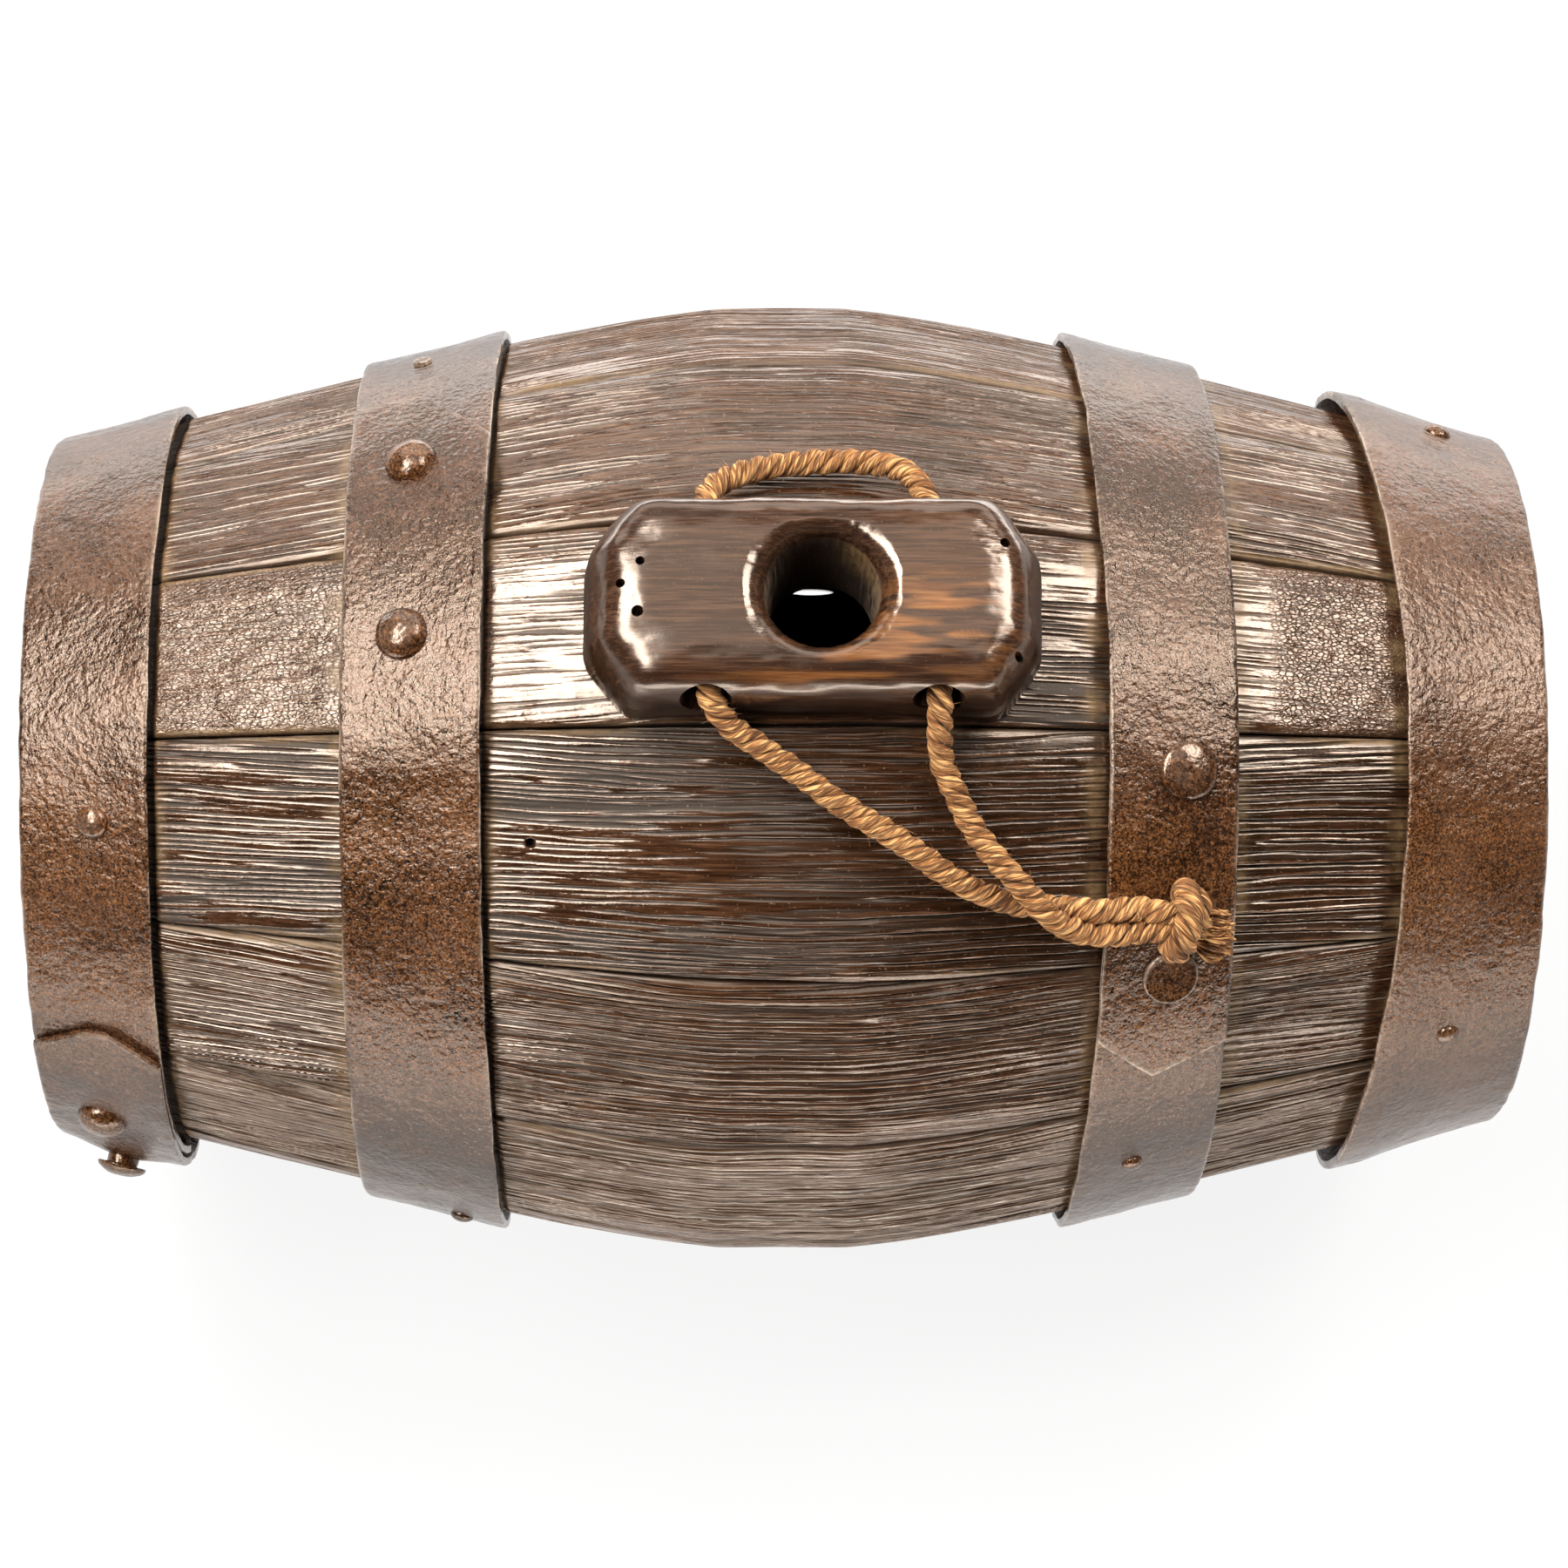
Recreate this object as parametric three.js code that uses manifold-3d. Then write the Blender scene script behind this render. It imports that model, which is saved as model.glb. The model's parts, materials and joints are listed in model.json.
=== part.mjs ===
// A small coopered rum keg lying on its side with its bung up.
// Bent staves are held by four lapped iron hoops, each end is closed by a doweled head set in a groove,
// and one rope is reeved through a block that is hewn in one with the bung stave.
// Units are millimetres. +X runs along the keg, +Z is up through the bung, and the keg rests on z = 0.
import * as THREE from 'three';
import { mergeVertices } from 'three/addons/utils/BufferGeometryUtils.js';
import Module from 'manifold-3d';

const wasm = await Module();
wasm.setup();

// Driving dimensions
const LENGTH = 300;
const BILGE_RADIUS = 99.5;
const TAPER = 0.257;            // slope that a stave's outside comes to near its ends
const KNEE = 36;                // half length over which a stave bends at the bilge
const STAVE_THICKNESS = 12;
const SEAM_GAP = 0.4;
const FIT_GAP = 0.35;           // between pieces that touch on the real keg
const CROWN_FLAT = 0.65;        // share of a stave's width that is flat outside
const REST_HALF = 13;           // half length of the flat that the keg lies on

// Stave widths in degrees, counted from the bung stave down the front and down the back
const BUNG_STAVE_WIDTH = 25.2;
const BOTTOM_STAVE_WIDTH = 26;
const FRONT_WIDTHS = [29, 24.4, 25, 25.6, 25.2, 25.2];
const BACK_WIDTHS = [26.2, 25.4, 25.9, 25.5, 25.8, 25.6];

// Groove that holds a head, and the bevel of the stave's end
const CROZE_CENTRE = 136.8;
const CROZE_FLOOR = 4.4;
const CROZE_MOUTH = 5.6;
const CROZE_DEPTH = 4;
const CHIME_THICKNESS = 7;
const STAVE_STATIONS = [87, 60, 36, REST_HALF];

// Heads
const HEAD_THICKNESS = 8;
const HEAD_RADIUS = 62.9;
const HEAD_TONGUE = 3;
const HEAD_BEVEL = 11;
const HEAD_SIDES = 32;
const DOWEL_RADIUS = 2.5;
const DOWEL_LENGTH = 24;
const DOWEL_SPREAD = 30;

// Block hewn in one with the bung stave: height over the keg's axis, length and width
const BLOCK_CENTRE = 5;
const BLOCK_RINGS = [
  [88, 88, 38], [97, 88, 41], [105, 86.5, 41], [110.5, 82, 39], [112.8, 78, 36], [114, 73, 31],
];
const BLOCK_CORNER = [8, 11];
const BUNG_CENTRE = 6.5;
const BUNG_RADIUS = 10.5;
const BUNG_FLARE = [[10.5, 108.5], [11.6, 111.8], [14, 114.2], [15, 118]];
const BUNG_SIDES = 28;
const ROPE_HOLE_SIDES = 14;
const ROPE_HOLES = [-15.5, 28.4];
const ROPE_HOLE_HEIGHT = 106.5;
const ROPE_HOLE_RADIUS = 4.8;
const ROPE_MOUTH_RADIUS = 6;    // front ends of the rope holes, worn wide
const ROPE_MOUTH_FRONT = -22;
const ROPE_MOUTH_DEPTH = 10;

// Strap hoops: edges along X, angle of the outer strap's point, the way that it runs on, and its lap
const HOOP_THICKNESS = 1.8;
const LAP_GAP = 0.45;
const JOGGLE = 14;
const POINT_ANGLE = 5;
const INNER_END = 3;
const HOOPS = {
  left_end: { edges: [-149.9, -124], point: 60, run: 1, lap: 52 },
  left_quarter: { edges: [-86, -58.7], point: -38, run: 1, lap: 50 },
  right_quarter: { edges: [60.5, 87.2], point: 57.5, run: -1, lap: 52 },
  right_end: { edges: [121, 149.9], point: -104, run: -1, lap: 50 },
};

// Rivets through the laps and nails into the staves: place along X, angle, head radius and height
const RIVET_SHANK = 2.3;
const NAIL_SHANK = 1.2;
const NAIL_DEPTH = 8.5;
const SHANK_GAP = 0.3;
const RIVET_SIDES = 10;
const RIVETS = {
  left_end: [[-138.5, 84, 5.2, 3.4], [-137, 102, 5.2, 3.8]],
  left_quarter: [[-73.5, -24, 5.2, 3.6], [-74, 1, 5.2, 3.6]],
  right_quarter: [[74.3, 44, 5.6, 0.9], [77, 17.6, 5.8, 1.9]],
  right_end: [[135.5, -116, 5.2, 3.2], [135.5, -140, 5.2, 3.2]],
};
const NAILS = {
  left_end: [[-135, 25, 3.1, 1.7]],
  left_quarter: [[-66, 97, 2.4, 1.3], [-73.5, -52, 1.9, 0.9]],
  right_quarter: [[70, 76.4, 2.1, 1.2]],
  right_end: [[132, 60.3, 2.4, 1.4], [135, -52.4, 2.8, 1.6]],
};

// Rope: its arch is laid by X, Y and height over the keg's axis,
// and its legs by X, angle from the bung and height over the staves
const ROPE_RADIUS = 2.7;
const ROPE_SIDES = 10;
const ROPE_STEP = 5;
const ARCH_ROUTE = [
  [-12.7, -22.4, 104.4], [-14.6, -19.6, 106.1], [-15.4, -14.5, 106.7], [-15.5, -5, 106.8], [-15.5, 5, 106.8],
  [-15.9, 14, 106.6], [-15.9, 19.4, 106.1], [-14.6, 23.2, 104.6], [-11.2, 26.5, 102.4], [-6.4, 29, 100.4],
  [-0.8, 30.6, 99], [5.5, 31.5, 98.3], [12.6, 31.4, 98.8], [18.4, 30.3, 100.2], [22.6, 27.8, 102.4],
  [25.4, 24, 104.6], [27.3, 19.5, 106.1], [28, 14, 106.6], [28.4, 5, 106.8], [28.4, -5, 106.8],
  [28.4, -14.5, 106.7], [28.5, -19.2, 106.1], [28.6, -21.4, 104.9],
];
const LEFT_LEG_ROUTE = [
  [-10, 13.56, 5.76], [-6.4, 14.8, 4.6], [-2.6, 16.3, 3.5], [2.5, 18.2, 3.1], [9.1, 21, 3.1],
  [15.8, 23.3, 3.1], [22.4, 25.7, 3.1], [30.1, 29, 3.1], [35.8, 30.9, 3.1], [42.8, 32, 3.1],
  [49.4, 32.3, 3.2], [54, 32.4, 4.6], [58.5, 32.5, 6.7], [63, 32.6, 7.3], [67, 32.8, 7.6],
];
const RIGHT_LEG_ROUTE = [
  [28.7, 13.56, 8.02], [28.8, 15, 5.9], [29.5, 17.2, 3.9], [31.5, 19.7, 3.1], [34, 22.7, 3.1],
  [36.6, 25.2, 4], [39.8, 27.4, 6.6], [43, 29.2, 8.8], [46.2, 31.2, 9.3], [49.5, 33.2, 9.3],
  [53, 35.1, 8.3], [57, 36.3, 7.3], [61.5, 36.6, 7.5], [64.5, 36.6, 7.6], [67, 36.5, 7.7],
];

// Knot: its place over the staves, and its turns and ends in a frame of its own
const KNOT_PLACE = [75.5, 34.6, 11];
const KNOT_WRAP = 3.7;          // radius of the wrapped turn's centre line
const KNOT_CORE = [7.4, 4.4, 3.8];
const KNOT_TILT = 18;
const KNOT_STRANDS = [
  [[-7.4, 3.05, -3.5], [-4.4, 2.9, -3], [0, 1.2, 0]],
  [[-7.4, -3.25, -3.4], [-4.4, -2.9, -2.9], [0, -1.2, 0]],
  [[0, -1.2, 0], [5, -2.2, -0.6], [9.2, -3.2, -1.4]],
  [[0, 1, -0.5], [4.6, 1.6, -2.2], [8, 1.4, -3.6]],
];

// Finishes
const OAK = { color: 0x4a3a30, roughness: 0.55, metalness: 0 };
const HEAD_OAK = { color: 0x55453a, roughness: 0.7, metalness: 0 };
const DOWEL_OAK = { color: 0x7a6148, roughness: 0.75, metalness: 0 };
const IRON = { color: 0x493830, roughness: 0.5, metalness: 0.8 };
const RIVET_IRON = { color: 0x513e33, roughness: 0.45, metalness: 0.8 };
const JUTE = { color: 0xb58a52, roughness: 0.9, metalness: 0 };

const HALF_LENGTH = LENGTH / 2;
const rad = THREE.MathUtils.degToRad;
const REST_ANGLE = rad(CROWN_FLAT * BOTTOM_STAVE_WIDTH / 2);
const AXIS_HEIGHT = staveRadius(REST_HALF) * Math.cos(REST_ANGLE);

// Outside radius of the staves: straight tapers joined by a round bend at the bilge
function staveRadius(x) {
  return BILGE_RADIUS - TAPER * (Math.hypot(x, KNEE) - KNEE);
}

function staveSlope(x) {
  return -TAPER * x / Math.hypot(x, KNEE);
}

// Point at a place along the keg, a radius from its axis and an angle from the bung towards the front
function around(x, radius, degrees) {
  const a = rad(degrees);
  return new THREE.Vector3(x, -radius * Math.sin(a), radius * Math.cos(a));
}

// Frame on the outside of the staves, raised by a height, with its Z axis square to the wood
function onStaves(x, degrees, height) {
  const radial = around(0, 1, degrees);
  const normal = radial.clone().add(new THREE.Vector3(-staveSlope(x), 0, 0)).normalize();
  const across = around(0, 1, degrees - 90);
  const along = new THREE.Vector3().crossVectors(across, normal);
  const place = around(x, staveRadius(x) + height, degrees);
  return new THREE.Matrix4().makeBasis(along, across, normal).setPosition(place);
}

// Booleans on closed meshes
function toSolid(geometry) {
  const bare = geometry.clone();
  bare.deleteAttribute('normal');
  bare.deleteAttribute('uv');
  const merged = mergeVertices(bare, 1e-4);
  return new wasm.Manifold(new wasm.Mesh({
    numProp: 3,
    vertProperties: new Float32Array(merged.attributes.position.array),
    triVerts: new Uint32Array(merged.index.array),
  }));
}

function toGeometry(solid) {
  const mesh = solid.getMesh();
  const geometry = new THREE.BufferGeometry();
  geometry.setAttribute('position', new THREE.BufferAttribute(new Float32Array(mesh.vertProperties), 3));
  geometry.setIndex(Array.from(mesh.triVerts));
  geometry.computeVertexNormals();
  return geometry;
}

function cut(geometry, ...tools) {
  return toGeometry(tools.reduce((solid, tool) => solid.subtract(toSolid(tool)), toSolid(geometry)));
}

function join(geometry, ...others) {
  return toGeometry(others.reduce((solid, other) => solid.add(toSolid(other)), toSolid(geometry)));
}

function keep(geometry, tool) {
  return toGeometry(toSolid(geometry).intersect(toSolid(tool)));
}

// Closed skin over a row of rings with equally many points, closed at both ends by the given triangles
function loft(rings, capTriangles) {
  const count = rings[0].length;
  const last = (rings.length - 1) * count;
  const index = [];
  for (let ring = 0; ring < rings.length - 1; ring += 1) {
    for (let i = 0; i < count; i += 1) {
      const a = ring * count + i;
      const b = ring * count + (i + 1) % count;
      index.push(a, b, b + count, a, b + count, a + count);
    }
  }
  for (const [a, b, c] of capTriangles) {
    index.push(c, b, a);
    index.push(last + a, last + b, last + c);
  }
  const points = rings.flat();
  const volume = signedVolume(points, index);
  const outward = volume > 0 ? index : index.toReversed();
  const geometry = new THREE.BufferGeometry().setFromPoints(points);
  geometry.setIndex(outward);
  geometry.computeVertexNormals();
  return geometry;
}

function signedVolume(points, index) {
  let sum = 0;
  const normal = new THREE.Vector3();
  for (let i = 0; i < index.length; i += 3) {
    normal.crossVectors(points[index[i + 1]], points[index[i + 2]]);
    sum += points[index[i]].dot(normal);
  }
  return sum;
}

function fan(count, centre) {
  const triangles = [];
  for (let step = 1; step < count - 1; step += 1) {
    triangles.push([centre, (centre + step) % count, (centre + step + 1) % count]);
  }
  return triangles;
}

// Angles where one stave ends and the next begins, with a name for each stave
function layStaves() {
  const staves = [];
  const half = BUNG_STAVE_WIDTH / 2;
  staves.push({ name: 'bung_stave', from: -half, to: half });
  let front = half;
  FRONT_WIDTHS.forEach((width, i) => {
    staves.push({ name: `stave_front_${i + 1}`, from: front, to: front + width });
    front += width;
  });
  staves.push({ name: 'stave_bottom', from: front, to: front + BOTTOM_STAVE_WIDTH });
  let back = -half;
  BACK_WIDTHS.forEach((width, i) => {
    staves.push({ name: `stave_back_${i + 1}`, from: back - width, to: back });
    back -= width;
  });
  return staves;
}

// Places along a stave with its thickness there, from one end to the other
function staveStations() {
  const half = [
    [HALF_LENGTH, CHIME_THICKNESS],
    [CROZE_CENTRE + CROZE_MOUTH / 2, STAVE_THICKNESS],
    [CROZE_CENTRE + CROZE_FLOOR / 2, STAVE_THICKNESS - CROZE_DEPTH],
    [CROZE_CENTRE - CROZE_FLOOR / 2, STAVE_THICKNESS - CROZE_DEPTH],
    [CROZE_CENTRE - CROZE_MOUTH / 2, STAVE_THICKNESS],
    ...STAVE_STATIONS.map((x) => [x, STAVE_THICKNESS]),
  ];
  const mirrored = half.toReversed().map(([x, thickness]) => [-x, thickness]);
  return [...half, ...mirrored];
}

function staveGeometry({ from, to }) {
  const middle = (from + to) / 2;
  const flat = CROWN_FLAT * (to - from) / 2;
  const rings = staveStations().map(([x, thickness]) => {
    const outer = staveRadius(x);
    const inner = outer - thickness;
    const outerTrim = THREE.MathUtils.radToDeg(SEAM_GAP / 2 / outer);
    const innerTrim = THREE.MathUtils.radToDeg(SEAM_GAP / 2 / inner);
    return [
      around(x, inner, middle),
      around(x, inner, from + innerTrim),
      around(x, outer, from + outerTrim),
      around(x, outer, middle - flat),
      around(x, outer, middle + flat),
      around(x, outer, to - outerTrim),
      around(x, inner, to - innerTrim),
    ];
  });
  return loft(rings, fan(rings[0].length, 0));
}

// Bung stave: the standing block, the bung hole with its worn mouth, and the two rope holes
function blockGeometry() {
  const [cornerX, cornerY] = BLOCK_CORNER;
  const rings = BLOCK_RINGS.map(([height, length, width]) => {
    const x = length / 2;
    const y = width / 2;
    const outline = [
      [x, y - cornerY], [x - cornerX, y], [cornerX - x, y], [-x, y - cornerY],
      [-x, cornerY - y], [cornerX - x, -y], [x - cornerX, -y], [x, cornerY - y],
    ];
    return outline.map(([px, py]) => new THREE.Vector3(BLOCK_CENTRE + px, py, height));
  });
  return loft(rings, fan(rings[0].length, 0));
}

function bungBore() {
  const profile = [[0, 0], [BUNG_RADIUS, 0], ...BUNG_FLARE, [0, BUNG_FLARE.at(-1)[1]]];
  const bore = new THREE.LatheGeometry(profile.map(([r, h]) => new THREE.Vector2(r, h)), BUNG_SIDES);
  bore.rotateX(Math.PI / 2);
  bore.translate(BUNG_CENTRE, 0, 0);
  return bore;
}

function ropeHole(x) {
  const hole = new THREE.CylinderGeometry(ROPE_HOLE_RADIUS, ROPE_HOLE_RADIUS, BILGE_RADIUS, ROPE_HOLE_SIDES);
  return hole.translate(x, 0, ROPE_HOLE_HEIGHT);
}

function ropeMouth(x) {
  const mouth = new THREE.CylinderGeometry(
    ROPE_HOLE_RADIUS - SHANK_GAP, ROPE_MOUTH_RADIUS, ROPE_MOUTH_DEPTH, ROPE_HOLE_SIDES,
  );
  return mouth.translate(x, ROPE_MOUTH_FRONT + ROPE_MOUTH_DEPTH / 2, ROPE_HOLE_HEIGHT);
}

function bungStaveGeometry(stave) {
  const holes = ROPE_HOLES.flatMap((x) => [ropeHole(x), ropeMouth(x)]);
  return cut(join(staveGeometry(stave), blockGeometry()), bungBore(), ...holes);
}

// Heads: a disc with a bevelled tongue, sawn into two boards that are joined by dowels
function headDisc() {
  const face = HEAD_THICKNESS / 2;
  const tongue = HEAD_TONGUE / 2;
  const shoulder = HEAD_RADIUS - HEAD_BEVEL;
  const profile = [
    [0, -face], [shoulder, -face], [HEAD_RADIUS, -tongue], [HEAD_RADIUS, tongue], [shoulder, face], [0, face],
  ];
  const disc = new THREE.LatheGeometry(profile.map(([r, h]) => new THREE.Vector2(r, h)), HEAD_SIDES);
  disc.rotateZ(-Math.PI / 2);
  return disc;
}

function dowelAt(side, radius, length) {
  const dowel = new THREE.CylinderGeometry(radius, radius, length, RIVET_SIDES);
  dowel.translate(0, 0, side * DOWEL_SPREAD);
  return dowel;
}

function boardGeometry(side) {
  const half = new THREE.BoxGeometry(LENGTH, HEAD_RADIUS * 2, HEAD_RADIUS * 3);
  half.translate(0, side * (HEAD_RADIUS + SEAM_GAP / 2), 0);
  const holes = [-1, 1].map((end) => dowelAt(end, DOWEL_RADIUS + SHANK_GAP, DOWEL_LENGTH + 1));
  return cut(keep(headDisc(), half), ...holes);
}

function headGroup(name, x, turn) {
  const head = new THREE.Group();
  head.add(piece(`${name}_board_front`, boardGeometry(-1), HEAD_OAK));
  head.add(piece(`${name}_board_back`, boardGeometry(1), HEAD_OAK));
  head.add(piece(`${name}_dowel_lower`, dowelAt(-1, DOWEL_RADIUS, DOWEL_LENGTH), DOWEL_OAK));
  head.add(piece(`${name}_dowel_upper`, dowelAt(1, DOWEL_RADIUS, DOWEL_LENGTH), DOWEL_OAK));
  head.position.x = x;
  head.rotation.x = rad(turn);
  return head;
}

// Angles at which the outside of the keg has an edge
function staveCorners(staves) {
  const corners = staves.flatMap(({ from, to }) => {
    const middle = (from + to) / 2;
    const flat = CROWN_FLAT * (to - from) / 2;
    return [from, middle - flat, middle + flat];
  });
  return corners.map((degrees) => THREE.MathUtils.euclideanModulo(degrees, 360));
}

// Strap hoop, followed from the point of its outer end once round the keg to the end that lies under it
function hoopGeometry({ edges, point, run, lap }, corners) {
  const total = 360 + lap - INNER_END;
  const stops = corners.flatMap((degrees) => {
    const first = THREE.MathUtils.euclideanModulo(run * (degrees - point), 360);
    return [first, first + 360];
  });
  const usable = stops.filter((s) => s > POINT_ANGLE + 1 && s < total - 1);
  const travel = [...usable, lap, lap + JOGGLE, total].sort((a, b) => a - b);
  const places = [edges[0], (edges[0] + edges[1]) / 2, edges[1]];
  const section = (travelled) => {
    const inner = [];
    const outer = [];
    places.forEach((x, i) => {
      const s = travelled[i];
      const level = 1 - THREE.MathUtils.clamp((s - lap) / JOGGLE, 0, 1);
      const radius = staveRadius(x) + FIT_GAP + level * (HOOP_THICKNESS + LAP_GAP);
      inner.push(around(x, radius, point + run * s));
      outer.push(around(x, radius + HOOP_THICKNESS, point + run * s));
    });
    return [...inner, ...outer.toReversed()];
  };
  const rings = [section([POINT_ANGLE, 0, POINT_ANGLE]), ...travel.map((s) => section([s, s, s]))];
  const ends = [[0, 1, 5], [1, 4, 5], [1, 2, 4], [2, 3, 4]];
  return loft(rings, ends);
}

// Fasteners: a domed head over a round shank, standing on Z = 0
function headedPin(headRadius, headHeight, shankRadius, shankLength) {
  const profile = [
    [0, -shankLength], [shankRadius, -shankLength], [shankRadius, 0], [headRadius, 0],
    [headRadius * 0.92, headHeight * 0.45], [headRadius * 0.6, headHeight * 0.85], [0, headHeight],
  ];
  const pin = new THREE.LatheGeometry(profile.map(([r, h]) => new THREE.Vector2(r, h)), RIVET_SIDES);
  pin.rotateX(Math.PI / 2);
  return pin;
}

function shankHole(shankRadius, depth) {
  const radius = shankRadius + SHANK_GAP;
  const hole = new THREE.CylinderGeometry(radius, radius, depth * 2, RIVET_SIDES);
  hole.rotateX(Math.PI / 2);
  return hole;
}

const ONE_LAYER = FIT_GAP + HOOP_THICKNESS;
const TWO_LAYERS = ONE_LAYER + LAP_GAP + HOOP_THICKNESS;

function rivet([x, degrees, headRadius, headHeight]) {
  const seat = onStaves(x, degrees, TWO_LAYERS + SHANK_GAP);
  const shank = TWO_LAYERS - FIT_GAP;
  return {
    pin: headedPin(headRadius, headHeight, RIVET_SHANK, shank).applyMatrix4(seat),
    hole: shankHole(RIVET_SHANK, TWO_LAYERS).applyMatrix4(seat),
  };
}

function nail([x, degrees, headRadius, headHeight]) {
  const seat = onStaves(x, degrees, ONE_LAYER + SHANK_GAP);
  const shank = ONE_LAYER + NAIL_DEPTH;
  return {
    degrees,
    pin: headedPin(headRadius, headHeight, NAIL_SHANK, shank).applyMatrix4(seat),
    hole: shankHole(NAIL_SHANK, shank + SHANK_GAP).applyMatrix4(seat),
  };
}

// Rope: round tubes along hand-laid routes, with a ball where a leg turns at its hole
function ropeTube(points) {
  const curve = new THREE.CatmullRomCurve3(points, false, 'centripetal');
  const section = new THREE.Shape();
  section.setFromPoints(Array.from({ length: ROPE_SIDES }, (_, i) => {
    const turn = i * 2 * Math.PI / ROPE_SIDES;
    return new THREE.Vector2(ROPE_RADIUS * Math.cos(turn), ROPE_RADIUS * Math.sin(turn));
  }));
  const steps = Math.round(curve.getLength() / ROPE_STEP);
  return new THREE.ExtrudeGeometry(section, { steps, extrudePath: curve, bevelEnabled: false });
}

function archGeometry() {
  return ropeTube(ARCH_ROUTE.map((p) => new THREE.Vector3(...p)));
}

function legGeometry(route) {
  const points = route.map(([x, degrees, lift]) => around(x, staveRadius(x) + lift, degrees));
  const ball = new THREE.SphereGeometry(ROPE_RADIUS, ROPE_SIDES, ROPE_SIDES / 2);
  ball.translate(...points[0].toArray());
  return join(ropeTube(points), ball);
}

// Knot: two turns wrapped round the strands of both legs, with the two cut ends standing out beyond
function knotGeometry() {
  const core = new THREE.SphereGeometry(1, ROPE_SIDES, ROPE_SIDES / 2).scale(...KNOT_CORE);
  const turns = [-1, 1].map((side) => {
    const turn = new THREE.TorusGeometry(KNOT_WRAP, ROPE_RADIUS, ROPE_SIDES, ROPE_SIDES * 2);
    turn.rotateY(Math.PI / 2);
    turn.rotateZ(side * rad(KNOT_TILT));
    turn.translate(side * ROPE_RADIUS / 2, 0, 0);
    return turn;
  });
  const strands = KNOT_STRANDS.map((route) => ropeTube(route.map((p) => new THREE.Vector3(...p))));
  return join(core, ...turns, ...strands).applyMatrix4(onStaves(...KNOT_PLACE));
}

// Assembly
function piece(name, geometry, finish) {
  const mesh = new THREE.Mesh(geometry, new THREE.MeshStandardMaterial(finish));
  mesh.name = name;
  return mesh;
}

const keg = new THREE.Group();
keg.position.z = AXIS_HEIGHT;

const staves = layStaves();
const corners = staveCorners(staves);
const nails = Object.entries(NAILS).flatMap(([hoop, list]) => list.map((row) => ({ hoop, ...nail(row) })));

for (const stave of staves) {
  const plain = stave.name === 'bung_stave' ? bungStaveGeometry(stave) : staveGeometry(stave);
  const holes = nails.filter(({ degrees }) => degrees > stave.from && degrees < stave.to);
  const geometry = holes.length ? cut(plain, ...holes.map(({ hole }) => hole)) : plain;
  keg.add(piece(stave.name, geometry, OAK));
}

keg.add(headGroup('head_left', -CROZE_CENTRE, 12));
keg.add(headGroup('head_right', CROZE_CENTRE, -20));

for (const [name, hoop] of Object.entries(HOOPS)) {
  const rivets = RIVETS[name].map(rivet);
  const own = nails.filter((entry) => entry.hoop === name);
  const holes = [...rivets, ...own].map(({ hole }) => hole);
  keg.add(piece(`hoop_${name}`, cut(hoopGeometry(hoop, corners), ...holes), IRON));
  rivets.forEach(({ pin }, i) => keg.add(piece(`rivet_${name}_${i + 1}`, pin, RIVET_IRON)));
  own.forEach(({ pin }, i) => keg.add(piece(`nail_${name}_${i + 1}`, pin, RIVET_IRON)));
}

keg.add(piece('rope_arch', archGeometry(), JUTE));
keg.add(piece('rope_leg_left', legGeometry(LEFT_LEG_ROUTE), JUTE));
keg.add(piece('rope_leg_right', legGeometry(RIGHT_LEG_ROUTE), JUTE));
keg.add(piece('rope_knot', knotGeometry(), JUTE));

export default keg;
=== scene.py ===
# Looks of the rum keg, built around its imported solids.
# Metres. +X runs along the keg, +Z is up through the bung hole, and the keg rests on z = 0.
import itertools
import json

import bpy
import numpy as np
from mathutils import Matrix, Vector


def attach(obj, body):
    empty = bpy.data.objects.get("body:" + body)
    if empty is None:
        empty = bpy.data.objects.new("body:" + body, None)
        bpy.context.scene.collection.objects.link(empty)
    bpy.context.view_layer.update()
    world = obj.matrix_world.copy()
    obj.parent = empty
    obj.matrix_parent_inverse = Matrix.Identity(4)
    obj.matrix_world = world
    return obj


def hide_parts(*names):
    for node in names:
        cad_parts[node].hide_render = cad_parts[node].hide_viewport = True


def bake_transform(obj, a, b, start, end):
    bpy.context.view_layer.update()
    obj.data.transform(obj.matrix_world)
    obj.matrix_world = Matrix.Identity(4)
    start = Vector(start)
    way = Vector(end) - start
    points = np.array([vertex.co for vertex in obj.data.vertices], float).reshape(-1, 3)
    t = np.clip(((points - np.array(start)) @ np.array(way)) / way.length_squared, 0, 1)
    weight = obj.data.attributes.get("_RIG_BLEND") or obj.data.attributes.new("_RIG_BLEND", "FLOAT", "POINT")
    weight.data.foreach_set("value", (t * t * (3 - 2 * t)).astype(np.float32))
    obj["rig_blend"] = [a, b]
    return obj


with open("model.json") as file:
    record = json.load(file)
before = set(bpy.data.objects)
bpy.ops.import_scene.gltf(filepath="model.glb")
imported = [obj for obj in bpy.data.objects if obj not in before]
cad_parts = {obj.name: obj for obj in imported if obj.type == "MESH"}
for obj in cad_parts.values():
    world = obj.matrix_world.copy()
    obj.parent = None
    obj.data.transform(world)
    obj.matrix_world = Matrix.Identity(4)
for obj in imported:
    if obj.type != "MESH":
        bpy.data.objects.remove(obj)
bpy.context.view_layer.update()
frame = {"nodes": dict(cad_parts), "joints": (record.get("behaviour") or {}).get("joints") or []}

MM = 0.001

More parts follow.
